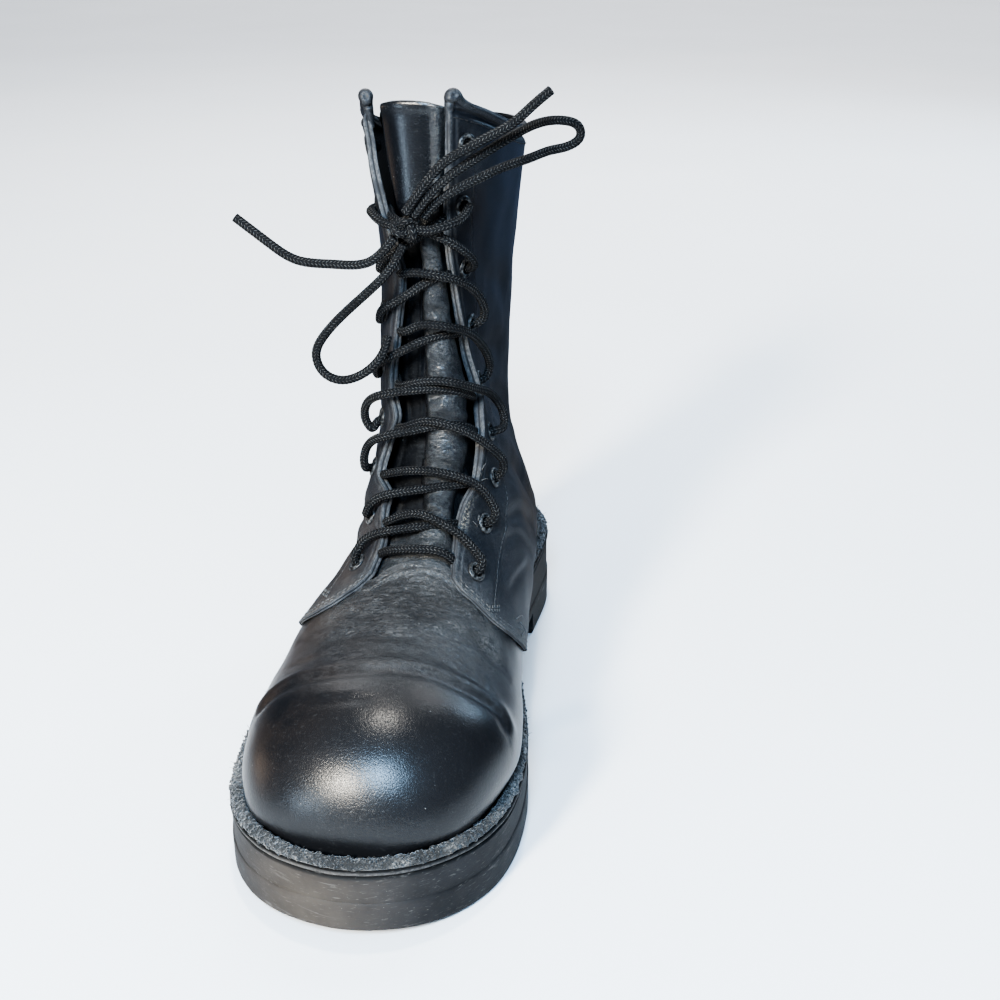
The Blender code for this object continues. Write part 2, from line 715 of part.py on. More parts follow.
def build_upper(finish):
    """One hollow wall: vamp, quarters and shaft, open at the collar, the throat and underneath."""
    places = upper_places()
    rows = len(places)
    t = bent_rows(places)
    distances = np.array([[upper_columns(t)[j] for j, t in enumerate(row)] for row in t])
    columns = distances.shape[1]
    middle = np.zeros(columns, bool)
    middle[SIDE_COLUMNS + 1:SIDE_COLUMNS + 1 + MIDDLE_COLUMNS] = True
    quarter = (places > THROAT_T + STEP_RUN / 2)[:, None] & ~middle
    lift = np.where(quarter, QUARTER_LIFT, VAMP_LIFT)
    lift = np.where(t > COLLAR_T - COLLAR_BAND + STEP_RUN / 2, COLLAR_LIFT, lift)
    lining = np.interp(t, (THROAT_T - 10.0, THROAT_T + 20.0), (VAMP_LINING, QUARTER_LINING))
    lining = np.where(middle, VAMP_LINING, lining)
    outer, _ = on_surface(t, distances, lift)
    inner, _ = on_surface(t, distances, lining)
    on_sole = places <= HEEL_T + 1e-6
    for shell in (outer, inner):
        for column in (0, -1):
            shell[on_sole, column, 2] = rim_z(shell[on_sole, column, 1]) + GAP
        shell[0, :, 2] = rim_z(shell[0, :, 1]) + GAP
        seam = (shell[~on_sole, 0] + shell[~on_sole, -1]) / 2
        shell[~on_sole, 0] = seam
        shell[~on_sole, -1] = seam
    # the heel row closes on itself at the back of the sole
    heel = np.flatnonzero(on_sole)[-1]
    for shell in (outer, inner):
        shell[heel, 0] = shell[heel, -1] = (shell[heel, 0] + shell[heel, -1]) / 2
        shell[heel, 0, 2] = shell[heel, -1, 2] = rim_z(FEATHER_BACK) + GAP
    points = np.concatenate([outer.reshape(-1, 3), inner.reshape(-1, 3)])
    second = rows * columns

    def index(row, column, side=0):
        if row >= heel and column == columns - 1:
            column = 0
        return side * second + row * columns + column

    opening = int(np.argmax(t[:, SIDE_COLUMNS] >= THROAT_T + VAMP_TOP - 1e-6))
    left = SIDE_COLUMNS
    right = SIDE_COLUMNS + MIDDLE_COLUMNS + 1
    faces = []
    for i in range(rows - 1):
        for j in range(columns - 1):
            if i >= opening and left <= j < right:
                continue
            for side in (0, 1):
                corners = [index(i, j, side), index(i, j + 1, side),
                           index(i + 1, j + 1, side), index(i + 1, j, side)]
                faces.append(tuple(dict.fromkeys(corners)))
    edges = [((0, j), (0, j + 1)) for j in range(columns - 1)]
    edges += [((i, j), (i + 1, j)) for i in range(heel) for j in (0, columns - 1)]
    edges += [((opening, j), (opening, j + 1)) for j in range(left, right)]
    edges += [((i, j), (i + 1, j)) for i in range(opening, rows - 1) for j in (left, right)]
    edges += [((rows - 1, j), (rows - 1, j + 1)) for j in range(columns - 1) if not left <= j < right]
    for a, b in edges:
        corners = [index(*a), index(*b), index(*b, 1), index(*a, 1)]
        faces.append(tuple(dict.fromkeys(corners)))
    upper = add_mesh("upper", points, faces, finish)
    cut(upper, joined_cutter("eyelet_cutter", [hole_shape(k, side) for k, side in eyelet_list()]))
    return upper


def eyelet_list():
    return [(pair, side) for pair in range(len(EYELETS)) for side in (1, -1)]


def eyelet_frame(pair, side):
    """Middle, normal and two cross directions of an eyelet."""
    point, normal = on_surface(eyelet_place(pair), eyelet_distance(pair, side))
    across = np.cross(normal, (0.0, 0.0, 1.0))
    across /= np.linalg.norm(across)
    return point, normal, across, np.cross(normal, across)


def turned(frame, profile, count):
    """Points of a profile (radius, height) turned about a frame's normal."""
    point, normal, across, up = frame
    points = []
    for radius, height in profile:
        for i in range(count):
            angle = 2 * math.pi * (i + 0.5) / count
            spoke = math.cos(angle) * across + math.sin(angle) * up
            points.append(point + radius * spoke + height * normal)
    return points


def hole_shape(pair, side):
    count = HOLE_SIDES
    points = turned(eyelet_frame(pair, side), ((EYELET_HOLE, -6.0), (EYELET_HOLE, 5.0)), count)
    faces = strips(0, count, count)
    faces += [tuple(range(count)), tuple(range(count, 2 * count))]
    return points, faces


def build_eyelets(finish):
    """Black rolled eyelets: a rim on the leather and a barrel through it."""
    base = QUARTER_LIFT + EYELET_SEAT
    profile = ((EYELET_BARREL, base), (EYELET_RIM, base), (EYELET_BORE + 0.4, base + 0.7),
               (EYELET_BORE, QUARTER_LINING - 0.3), (EYELET_BARREL, QUARTER_LINING - 0.3))
    count = EYELET_SIDES
    for pair, side in eyelet_list():
        points = turned(eyelet_frame(pair, side), profile, count)
        faces = []
        for i in range(len(profile)):
            faces += strips(i * count, (i + 1) % len(profile) * count, count)
        name = f"eyelet_{'inner' if side > 0 else 'outer'}_{pair + 1}"
        add_mesh(name, points, faces, finish)


def tongue_lift(t, across):
    """Rise of the tongue's face; across runs from -1 to 1 between the flaps' edges."""
    table = np.array(TONGUE_PROFILE)
    lift = np.interp(across, table[:, 0], table[:, 1])
    in_the_open = np.clip((t - THROAT_T - VAMP_TOP - 3.0) / 14.0, 0.0, 1.0)
    return TONGUE_UNDER_VAMP + (lift - TONGUE_UNDER_VAMP) * in_the_open


def build_tongue(finish):
    """Gusseted tongue: a sheet behind the opening, folded deep on the outer side."""
    places = np.linspace(THROAT_T + 4.0, COLLAR_T - TONGUE_BELOW_COLLAR, 20)
    across = np.concatenate([np.linspace(-1.9, -1.0, 3), np.linspace(-0.75, 0.75, 7),
                             np.linspace(1.0, 1.9, 3)])
    face = []
    back = []
    for t in places:
        edges = {side: gap(t, side) for side in (-1, 1)}
        reach = np.where(across > 0, edges[1], edges[-1])
        past = np.sign(across) * np.clip(np.abs(across) - 1, 0, None) / 0.9 * TONGUE_UNDER_FLAP
        d = np.clip(across, -1, 1) * reach + past
        lift = tongue_lift(t, across)
        where = np.full(len(across), t)
        face.append(on_surface(where, d, lift)[0])
        back.append(on_surface(where, d, lift - TONGUE_THICK)[0])
    rows, columns = len(places), len(across)
    points = np.concatenate([np.vstack(face), np.vstack(back)])
    second = rows * columns
    faces = []
    for i in range(rows - 1):
        for j in range(columns - 1):
            a = i * columns + j
            quad = (a, a + 1, a + columns + 1, a + columns)
            faces.append(quad)
            faces.append(tuple(second + k for k in quad))
    border = [(0, j) for j in range(columns)] + [(i, columns - 1) for i in range(1, rows)]
    border += [(rows - 1, j) for j in range(columns - 2, -1, -1)] + [(i, 0) for i in range(rows - 2, 0, -1)]
    loop = [i * columns + j for i, j in border]
    for a, b in zip(loop, loop[1:] + loop[:1]):
        faces.append((a, b, second + b, second + a))
    return add_mesh("tongue", points, faces, finish)


def smooth_curve(route):
    """Many points on a smooth curve through the route's points."""
    route = np.asarray(route, float)
    length = along(route)
    return spline(length, route, np.linspace(0.0, length[-1], 40 * len(route)))


def add_cord(name, route, finish):
    """Free round lace along a route: a poly curve with a bevel and filled ends."""
    fine = smooth_curve(route)
    points = resample(fine, int(round(along(fine)[-1] / (CORD_STEP * LACE))) + 1)
    curve = bpy.data.curves.new(name, "CURVE")
    curve.dimensions = "3D"
    curve.bevel_depth = LACE / 2 * MM
    curve.bevel_resolution = 2
    curve.use_fill_caps = True
    line = curve.splines.new("POLY")
    line.points.add(len(points) - 1)
    for target, point in zip(line.points, metres(points)):
        target.co = (*point, 1.0)
    piece = bpy.data.objects.new(name, curve)
    bpy.context.scene.collection.objects.link(piece)
    curve.materials.append(finish)


def add_strand(name, route, finish):
    """Lace drawn tight over the boot: a closed tube of few sides."""
    line = resample(smooth_curve(route), STRAND_POINTS)
    ahead = np.gradient(line, axis=0)
    ahead /= np.linalg.norm(ahead, axis=1)[:, None]
    across = np.cross(ahead, (0.0, 0.3, 1.0))
    across /= np.linalg.norm(across, axis=1)[:, None]
    up = np.cross(across, ahead)
    points = []
    for i in range(STRAND_POINTS):
        for k in range(STRAND_SIDES):
            angle = 2 * math.pi * k / STRAND_SIDES
            spoke = math.cos(angle) * across[i] + math.sin(angle) * up[i]
            points.append(line[i] + LACE / 2 * spoke)
    faces = []
    for i in range(STRAND_POINTS - 1):
        faces += strips(i * STRAND_SIDES, (i + 1) * STRAND_SIDES, STRAND_SIDES)
    faces.append(tuple(range(STRAND_SIDES)))
    faces.append(tuple(range((STRAND_POINTS - 1) * STRAND_SIDES, STRAND_POINTS * STRAND_SIDES)))
    return add_mesh(name, points, faces, finish)


def surface_route(stations):
    """Route points from stations of (t, d, lift)."""
    return [on_surface(np.array(t), d, lift)[0] for t, d, lift in stations]


def eyelet_stations(pair, side, step):
    """The lace's way up out of an eyelet and over the edge of its flap."""
    start = eyelet_place(pair)
    eyelet = eyelet_distance(pair, side)
    edge = side * gap(start + 0.3 * step, side)
    return [
        # t, d, lift
        (start, eyelet, STRAND_REST),
        (start + 0.01 * step, eyelet - side * 0.4, 4.4),
        (start + 0.12 * step, eyelet - side * 3.5, 6.0),
        (start + 0.30 * step, edge + side * 1.5, 4.9),
    ]


def strand_route(pair, side):
    """One strand of a crossing: out of an eyelet and down beside the other flap's edge."""
    start = eyelet_place(pair)
    step = eyelet_place(pair + 1) - start
    edge = side * gap(start + 0.3 * step, side)
    far = -side * (gap(start + step, -side) - FLAP_CLEAR)
    return surface_route(eyelet_stations(pair, side, step) + [
        # t, d, lift
        (start + 0.52 * step, 0.45 * edge, CROSSING_LIFT),
        (start + 0.64 * step, 0.0, CROSSING_LIFT),
        (start + 0.82 * step, 0.55 * far, 2.9),
        (start + 0.98 * step, far, 0.9),
    ])


def build_laces(finish):
    """The lace over the opening: a bar, seven crossings and two ties to the bow."""
    bar_place = eyelet_place(0) + 5.0
    ends = {side: gap(bar_place, side) - FLAP_CLEAR for side in (-1, 1)}
    add_strand("lace_bar", surface_route([
        # t, d, lift
        (bar_place, -ends[-1], 0.8),
        (bar_place + 1.0, -0.5 * ends[-1], 1.0),
        (bar_place + 1.5, 0.0, 1.2),
        (bar_place + 1.0, 0.5 * ends[1], 1.2),
        (bar_place, ends[1], 0.8),
    ]), finish)
    for pair in range(len(EYELETS) - 2):
        name = f"lace_crossing_{pair + 1}"
        crossing = add_strand(name, strand_route(pair, 1), finish)
        cut(crossing, add_strand(name + "_under", strand_route(pair, -1), finish), "UNION")
    top = len(EYELETS) - 2
    step = eyelet_place(top + 1) - eyelet_place(top)
    for side, end in ((1, TIE_INNER), (-1, TIE_OUTER)):
        route = surface_route(eyelet_stations(top, side, -0.4 * step)) + list(np.array(end))
        add_strand(f"lace_tie_{'inner' if side > 0 else 'outer'}", route, finish)


def build_bow(finish):
    """The tied bow: its knot, two loops and two free ends."""
    shell = bmesh.new()
    bmesh.ops.create_icosphere(shell, subdivisions=2, radius=1.0)
    points = []
    for vertex in shell.verts:
        x, y, z = vertex.co
        lump = 1.0 + 0.06 * math.sin(5 * x + 2 * z) * math.cos(4 * z)
        points.append(np.array(KNOT_CENTRE) + lump * np.array((x, y, z)) * np.array(KNOT_SIZE))
    faces = [tuple(vertex.index for vertex in face.verts) for face in shell.faces]
    shell.free()
    add_mesh("lace_knot", points, faces, finish)
    add_cord("lace_end_left", END_LEFT, finish)
    add_cord("lace_loop_left", LOOP_LEFT, finish)
    add_cord("lace_loop_right", LOOP_RIGHT, finish)
    add_cord("lace_end_right", END_RIGHT, finish)


def build_boot():
    leather = material("black_leather", (0.022, 0.022, 0.024), 0.38)
    tongue_leather = material("tongue_leather", (0.035, 0.035, 0.038), 0.5)
    rubber = material("sole_rubber", (0.05, 0.047, 0.044), 0.7)
    felt = material("welt_felt", (0.12, 0.115, 0.11), 0.95)
    lining = material("insole_fabric", (0.06, 0.055, 0.05), 0.9)
    enamel = material("eyelet_enamel", (0.02, 0.02, 0.02), 0.4, 0.6)
    braid = material("lace_braid", (0.02, 0.02, 0.021), 0.8)
    build_outsole(rubber)
    build_welt(felt)
    build_insole(lining)
    build_upper(leather)
    build_tongue(tongue_leather)
    build_eyelets(enamel)
    build_laces(braid)
    build_bow(braid)


for thing in list(bpy.data.objects):
    bpy.data.objects.remove(thing, do_unlink=True)
build_boot()
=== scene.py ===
"""Steel toe boot for the right foot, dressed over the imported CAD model.

Lengths are millimetres in the boot's own axes until metres() turns them into Blender's:
s runs back from the toe tip, x towards the inner side and z up.  A place on the upper is
(up, d): up counts along the top line from the throat, and d along the skin from the top
line, positive on the inner side.
"""
import math

import bmesh
import bpy
import numpy as np
from mathutils import Matrix, Vector


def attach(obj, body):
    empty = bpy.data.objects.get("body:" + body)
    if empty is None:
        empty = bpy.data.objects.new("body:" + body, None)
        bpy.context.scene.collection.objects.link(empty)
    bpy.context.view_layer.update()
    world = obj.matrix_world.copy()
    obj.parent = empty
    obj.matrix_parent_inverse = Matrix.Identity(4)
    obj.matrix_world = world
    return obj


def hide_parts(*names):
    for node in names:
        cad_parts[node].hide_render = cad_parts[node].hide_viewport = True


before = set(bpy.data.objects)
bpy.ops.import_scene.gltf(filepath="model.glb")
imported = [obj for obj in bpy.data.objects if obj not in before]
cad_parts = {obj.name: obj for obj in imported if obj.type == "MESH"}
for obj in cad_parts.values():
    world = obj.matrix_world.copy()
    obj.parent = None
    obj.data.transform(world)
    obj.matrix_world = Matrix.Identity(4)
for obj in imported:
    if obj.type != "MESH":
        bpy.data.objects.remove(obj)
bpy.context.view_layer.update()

RANDOM = np.random.default_rng(7)
MERGE = 2e-6            # points closer than this, in metres, are made one

# ---- sizes shared with the CAD source --------------------------------------------------
MM = 0.001
GAP = 0.3
SOLE_LENGTH = 312.0
SOLE_MIDDLE_X = 0.73
HEEL_BREAST = 232.0
ARCH_START = 160.0
ARCH_RISE = 11.0
TOE_SPRING = 5.0
SPRING_LENGTH = 45.0
RIM_HEIGHT = 1.7
RIM_GROOVE = 1.0
PARTING_RISE = 0.44
FEATHER_INSET = 8.0
VAMP_LIFT = -0.6
QUARTER_LIFT = 0.6
VAMP_LINING = -2.8
QUARTER_LINING = -2.0
TONGUE_THICK = 2.2
TONGUE_UNDER_VAMP = -3.8
TONGUE_UNDER_FLAP = 16.0
TONGUE_BELOW_COLLAR = 4.0
PARTING_STEP = 0.5
TREAD_PITCH = 15.0
TREAD_BORDER = 9.0
TREAD_SWEEP = 9.0
GROOVE_WIDTH = 5.0
GROOVE_DEPTH = 4.0
LACE = 3.7
BRAID_COLUMNS = 8
BRAID_PITCH = 1.45

# Outline of the sole: distance from the toe tip, and the inner and outer edge at that place.
SOLE_OUTLINE = (
    # s, inner x, outer x
    (0, 7.5, 7.5), (3, 22, -10), (10, 34.5, -24), (22, 46, -37), (40, 55.5, -47.5), (65, 59.5, -53.5),
    (95, 57.5, -57), (125, 51, -58), (160, 42.5, -54), (195, 37.5, -48.5), (225, 36.5, -43.5),
    (255, 38, -41), (282, 35.5, -36.5), (299, 26, -27), (309, 13, -14), (312, 0, 0),
)

# Height of the sole's rim over the floor.
RIM_LINE = (
    # s, z
    (0, 30.5), (15, 28.6), (35, 27.2), (70, 26.6), (120, 26.8), (165, 29.5), (210, 33.5), (260, 36.5),
    (312, 38.5),
)

# Edges of the two flaps: their distances from the top line, along the upper's surface, at
# the place "up" over the throat.  The raw edges wave where the lace pulls on them.
FLAP_EDGES = (
    # up, inner, outer
    (0, 13.2, 22.5), (20, 13.2, 22), (40, 13.8, 19.5), (63, 14.8, 20), (71, 16.5, 18.5), (84, 21.5, 25.5),
    (92, 23.2, 24.5), (103, 25.5, 19), (113, 27.2, 14.8), (121, 28.5, 16.8), (130, 32, 17.3),
    (145, 27.5, 14), (165, 20, 10.8), (185, 14.5, 8.6), (205, 12, 12), (231, 12.3, 19.3), (255, 14.2, 24.8),
    (282.5, 15.6, 23.6),
)

# Middles of the eyelets: the place over the throat and the distances from the top line.
EYELETS = (
    # up, inner, outer
    (24, 23.5, 32.5), (59, 27.5, 31), (90, 35.5, 34), (115, 38, 28.5), (141.5, 39.5, 25), (169, 30.5, 21),
    (196.5, 22, 20.5), (229.5, 20, 27.5), (262.5, 22.5, 32.5),
)

# Front edge of the quarters: the place over the throat, at parts of the way down from a
# flap's edge (0) to the sole (1).
QUARTER_FRONT = (
    # part, inner, outer
    (0, 14, 14), (0.04, 8, 6), (0.10, 3.5, -1), (0.17, -0.5, -6), (0.25, -3.7, -9), (0.36, -5, -10),
    (0.50, -4, -8), (0.65, -1, -3.5), (0.80, 3.5, 2), (1, 10, 9),
)

# The tongue's outer face between the flaps, from the outer flap's edge (-1) to the inner
# one's (1), as a rise over the upper's own surface: a deep fold beside the outer flap.
TONGUE_PROFILE = (
    # across, lift
    (-1.9, -4.6), (-1, -5), (-0.7, -6), (-0.35, -4), (0, -2), (0.5, -1), (1, -3.4), (1.9, -3.6),
)

# Distance in from the sole's edge to the top of the welt's strip, which leans on the upper.
WELT_LEAN = (
    # s, inner side, outer side
    (0, 4.7, 4.7), (40, 4.2, 5.4), (80, 3.6, 5.4), (130, 3.2, 5.2), (155, 2.1, 5), (210, 2.1, 5),
    (235, 2.8, 5), (265, 3.6, 4.8), (300, 4.2, 4.2),
)

# First and last groove of the forefoot's and the heel's tread.
TREAD_FIELDS = (
    # first s, last s
    (34, 140), (244, 290),
)

# Routes of the bow's free lace.
END_LEFT = (
    # x, s, z
    (-7.1, 155, 215.1), (-11.5, 154.3, 209.6), (-17, 154, 205.2), (-32, 152, 204), (-46.5, 150, 205.8),
    (-56.8, 150, 211.8), (-70.2, 150, 221.6),
)
LOOP_LEFT = (
    # x, s, z
    (-4.2, 158.3, 211.6), (-8.9, 156.5, 202.8), (-17, 154, 194), (-26, 152, 185.8), (-36.5, 150, 174.5),
    (-40, 150, 167), (-37.5, 150, 159.5), (-30.8, 151, 156), (-22.8, 153, 157.8), (-16.5, 155, 162.7),
    (-13.6, 158, 167.5), (-12.8, 161, 172.5),
)
LOOP_RIGHT = (
    # x, s, z
    (0.9, 155.2, 223.8), (8.2, 155.5, 233), (17.3, 157.5, 240.8), (26.5, 161, 246.8), (35.4, 166, 252.2),
    (41.5, 174, 255.3), (48.5, 184, 257), (55.5, 190, 256.5), (60.5, 193, 253.6), (60.8, 194, 249.8),
    (57, 192, 246.6), (50.3, 186.5, 245.4), (43.2, 178, 243.6), (34.6, 170, 241.4), (26.1, 163.5, 238),
    (16.9, 160, 233.6), (9, 159.5, 228.2), (3.8, 159.3, 222.6),
)
END_RIGHT = (
    # x, s, z
    (-1.8, 152.8, 225.4), (3, 152.8, 232.2), (8.8, 153, 239.9), (14.9, 153.5, 245.8), (21.7, 154, 250),
    (30.3, 156, 254.6), (39.4, 159.5, 259.6), (46.6, 163, 265.9), (52.9, 167, 271.2),
)

# Sections of the upper.  Each lies in the plane through a point of the top line and a point
# of the foot, and widens from the foot to its widest place before it closes at the top line.
# A foot height of 0 means that the foot stands on the sole, where the sole's top is.
UPPER_COLUMNS = ("top_s", "top_z", "top_x", "foot_s", "foot_z", "inner", "outer", "widest",
                 "fullness", "roundness", "dip")
UPPER_ROWS = (
    # top_s, top_z, top_x, foot_s, foot_z, inner, outer, widest, fullness, roundness, dip
    (8, 30.6, 7.5, 13, 0, 27, 15, 0.02, 1, 2, 0), (9, 41, 7.5, 24, 0, 39.5, 29.5, 0.12, 1, 2, 0),
    (15, 55, 7.5, 37, 0, 49, 38.5, 0.19, 1, 2, 0), (27, 67, 7, 52, 0, 55, 43.5, 0.24, 1, 2, 0),
    (44, 74.5, 6.5, 70, 0, 59, 45.5, 0.26, 1, 2, 0), (63, 77.5, 6, 92, 0, 57.5, 47.5, 0.26, 1, 1.7, 0),
    (85, 78, 7, 118, 0, 53, 47, 0.26, 1, 1.6, 0), (112, 81.5, 9, 152, 0, 47.5, 44, 0.22, 1, 2.3, 0),
    (128, 92.5, 8, 195, 0, 44, 38, 0.27, 1.1, 2, 0),
    (143, 106.5, 6.5, 240, 0, 39.5, 33.5, 0.28, 0.9, 2.7, 0),
    (155, 125, 5, 280, 0, 33, 29, 0.26, 0.65, 3.8, 0), (161, 142, 4, 304, 0, 27.5, 26.5, 0.20, 0.5, 4.7, 0),
    (166, 166, 2, 305, 72, 18.5, 25.5, 0.29, 0.42, 4.9, 0),
    (168, 191, 1, 296, 112, 18.5, 24, 0.36, 0.42, 4.3, 0),
    (167.5, 218, 0, 292, 158, 22, 24.5, 0.42, 0.42, 3.6, 2),
    (168.5, 243, -1.5, 294, 204, 25.5, 27.5, 0.44, 0.42, 3.3, 5),
    (169, 268, -3, 299, 243, 29, 32.5, 0.44, 0.42, 3.3, 7.5),
)
THROAT_ROW = 7           # the throat's section; places over it are given by the height "up"
HEEL_ROW = 11            # the foot reaches the back of the heel at this section


def spline(knots, values, at):
    """Natural cubic spline through the values at the knots, read at other places."""
    x = np.asarray(knots, float)
    y = np.asarray(values, float).reshape(len(x), -1)
    at = np.asarray(at, float)
    step = np.diff(x)
    size = len(x)
    matrix = np.zeros((size, size))
    right = np.zeros_like(y)
    matrix[0, 0] = 1.0
    matrix[-1, -1] = 1.0
    slope = np.diff(y, axis=0) / step[:, None]
    for i in range(1, size - 1):
        matrix[i, i - 1:i + 2] = (step[i - 1], 2 * (step[i - 1] + step[i]), step[i])
        right[i] = 3 * (slope[i] - slope[i - 1])
    bend = np.linalg.solve(matrix, right)
    rise = slope - step[:, None] * (2 * bend[:-1] + bend[1:]) / 3
    twist = np.diff(bend, axis=0) / (3 * step[:, None])
    k = np.clip(np.searchsorted(x, at.ravel(), side="right") - 1, 0, size - 2)
    u = (at.ravel() - x[k])[:, None]
    result = y[k] + u * (rise[k] + u * (bend[k] + u * twist[k]))
    return result.reshape(at.shape + (y.shape[1],)) if y.shape[1] > 1 else result[:, 0].reshape(at.shape)


def along(points):
    """Distance along a line of points."""
    steps = np.linalg.norm(np.diff(points, axis=0), axis=1)
    return np.concatenate(([0.0], np.cumsum(steps)))


def resample(line, count):
    """The line as evenly spaced points."""
    travelled = along(line)
    places = np.linspace(0.0, travelled[-1], count)
    return np.stack([np.interp(places, travelled, column) for column in line.T], axis=1)


def closed_curve(points, count):
    """Smooth closed curve through the points, as evenly spaced points."""
    wrap = 3
    ring = np.vstack([points[-wrap:], points, points[:wrap + 1]])
    length = along(ring)
    fine = spline(length, ring, np.linspace(length[wrap], length[-wrap - 1], 12 * count + 1))
    return resample(fine, count + 1)[:-1]


def sole_ring(count, inset=0.0):
    """Points (x, s) of the sole's outline from the heel round the outer side, moved inwards."""
    outer = [(row[2], row[0]) for row in reversed(SOLE_OUTLINE)]
    inner = [(row[1], row[0]) for row in SOLE_OUTLINE[1:-1]]
    ring = closed_curve(np.array(outer + inner), count)
    ahead = np.roll(ring, -1, axis=0) - np.roll(ring, 1, axis=0)
    outward = np.stack([ahead[:, 1], -ahead[:, 0]], axis=1)
    outward /= np.linalg.norm(outward, axis=1)[:, None]
    return ring - inset * outward


def ring_x(ring, side, s):
    """Inner (side 1) or outer (side -1) edge of a ring at the distances s."""
    tip = ring[:, 1].argmin()
    half = np.vstack([ring[tip:], ring[:1]]) if side > 0 else ring[tip::-1]
    return np.interp(s, half[:, 1], half[:, 0])


def rim_z(s):
    return spline([r[0] for r in RIM_LINE], [r[1] for r in RIM_LINE], s)


def floor_z(s):
    """Underside of the sole before the arch is cut."""
    return TOE_SPRING * np.clip((SPRING_LENGTH - np.asarray(s)) / SPRING_LENGTH, 0.0, 1.0) ** 2


FEATHER = sole_ring(720, FEATHER_INSET)
FEATHER_BACK = FEATHER[:, 1].max()


def upper_rows():
    """UPPER_ROWS, with the feet that stand on the sole put on its top."""
    rows = np.array(UPPER_ROWS)
    rows[:, 4] = np.where(rows[:, 4] > 0, rows[:, 4], rim_z(rows[:, 3]) + GAP)
    return rows


def row_places():
    """Place t of each table row: the mean distance travelled by its top and foot points."""
    rows = upper_rows()
    return (along(rows[:, 0:2]) + along(rows[:, 3:5])) / 2


ROW_T = row_places()
THROAT_T = ROW_T[THROAT_ROW]
HEEL_T = ROW_T[HEEL_ROW]
COLLAR_T = ROW_T[-1]


def section_values(t):
    """The columns of UPPER_ROWS at the places t, as a dictionary of arrays."""
    table = spline(ROW_T, upper_rows(), np.asarray(t, float))
    value = {name: table[..., i] for i, name in enumerate(UPPER_COLUMNS)}
    on_sole = np.asarray(t) <= HEEL_T
    value["foot_s"] = np.where(on_sole, np.minimum(value["foot_s"], FEATHER_BACK), value["foot_s"])
    value["foot_z"] = np.where(on_sole, rim_z(value["foot_s"]) + GAP, value["foot_z"])
    value["on_sole"] = on_sole
    return value


def half_sections(t, side, count):
    """Points (x, s, z) of one half of each section, evenly spaced from the foot to the top."""
    value = section_values(t)
    foot_x = np.where(value["on_sole"], ring_x(FEATHER, side, value["foot_s"]), 0.0)[:, None]
    wide = (value["inner"] if side > 0 else -value["outer"])[:, None]
    wide = np.where(side * wide < side * foot_x, foot_x, wide)
    top_x, widest, power = (value[name][:, None] for name in ("top_x", "widest", "roundness"))
    angle = np.linspace(0.0, math.pi / 2, 41)
    low = 1 - np.cos(angle)
    high = np.sin(angle)[1:]
    x_low = foot_x + (wide - foot_x) * (1 - (1 - low) ** 2) ** value["fullness"][:, None]
    closing = np.clip(1 - high ** power, 0.0, 1.0) ** (1 / (1.2 + 0.4 * power))
    q = np.concatenate([widest * low, widest + (1 - widest) * high], axis=1)
    x = np.concatenate([x_low, top_x + (wide - top_x) * closing], axis=1)
    s, z = (value["foot_" + axis][:, None] + q * (value["top_" + axis] - value["foot_" + axis])[:, None]
            for axis in "sz")
    z = z - 4 * q * (1 - q) * value["dip"][:, None]
    return [resample(line, count) for line in np.stack([x, s, z], axis=2)]


# The surface is kept as a fine grid: one row per place t, with columns from the outer foot over
# the top line to the inner foot.  Points are read from it by t and by the distance d from the
# top line along the surface, which is positive on the inner side.
GRID_ROWS = 360
GRID_HALF = 100


def surface_grid():
    places = np.linspace(0.0, COLLAR_T, GRID_ROWS)
    outer = np.array(half_sections(places, -1, GRID_HALF))
    inner = np.array(half_sections(places, 1, GRID_HALF))
    points = np.concatenate([outer, inner[:, -2::-1]], axis=1)
    down = np.gradient(points, axis=0)
    across = np.gradient(points, axis=1)
    normals = np.cross(across, down)
    normals /= np.linalg.norm(normals, axis=2)[:, :, None] + 1e-12
    lengths = [np.linalg.norm(np.diff(half, axis=1), axis=2).sum(axis=1) for half in (outer, inner)]
    return places, points, normals, lengths


PLACES, POINTS, NORMALS, (OUTER_LENGTH, INNER_LENGTH) = surface_grid()


def column_of(t, d):
    """Column of the grid at the distance d from the top line."""
    half = np.where(d > 0, np.interp(t, PLACES, INNER_LENGTH), np.interp(t, PLACES, OUTER_LENGTH))
    return (GRID_HALF - 1) * (1 + np.clip(np.asarray(d, float) / half, -1.0, 1.0))


def on_surface(t, d, lift=0.0):
    """Point (x, s, z) at the place t and distance d, raised along the surface's normal."""
    t = np.asarray(t, float)
    row = np.clip(np.interp(t, PLACES, np.arange(GRID_ROWS)), 0, GRID_ROWS - 1.001)
    column = np.clip(column_of(t, d), 0, 2 * GRID_HALF - 2.001)
    i, j = row.astype(int), column.astype(int)
    u, v = (row - i)[..., None], (column - j)[..., None]
    corners = ((0, 0, (1 - u) * (1 - v)), (1, 0, u * (1 - v)), (0, 1, (1 - u) * v), (1, 1, u * v))
    point = sum(weight * POINTS[i + a, j + b] for a, b, weight in corners)
    normal = sum(weight * NORMALS[i + a, j + b] for a, b, weight in corners)
    normal = normal / np.linalg.norm(normal, axis=-1)[..., None]
    return point + np.asarray(lift, float)[..., None] * normal, normal


def foot_distance(t, side):
    """Distance along the surface from the top line to the foot."""
    return np.interp(t, PLACES, INNER_LENGTH if side > 0 else OUTER_LENGTH)


def table_at(table, place, side):
    """A table's column for a side (the first for the inner), read smoothly within its range."""
    rows = np.array(table)
    return spline(rows[:, 0], rows[:, 1 if side > 0 else 2], np.clip(place, rows[0, 0], rows[-1, 0]))


def metres(points):
    """Points (x, s, z) in millimetres as Blender's (x, y, z) in metres."""
    return (np.asarray(points, float) - np.array([SOLE_MIDDLE_X, SOLE_LENGTH / 2, 0.0])) * MM


# ---- mesh helpers ----------------------------------------------------------------------


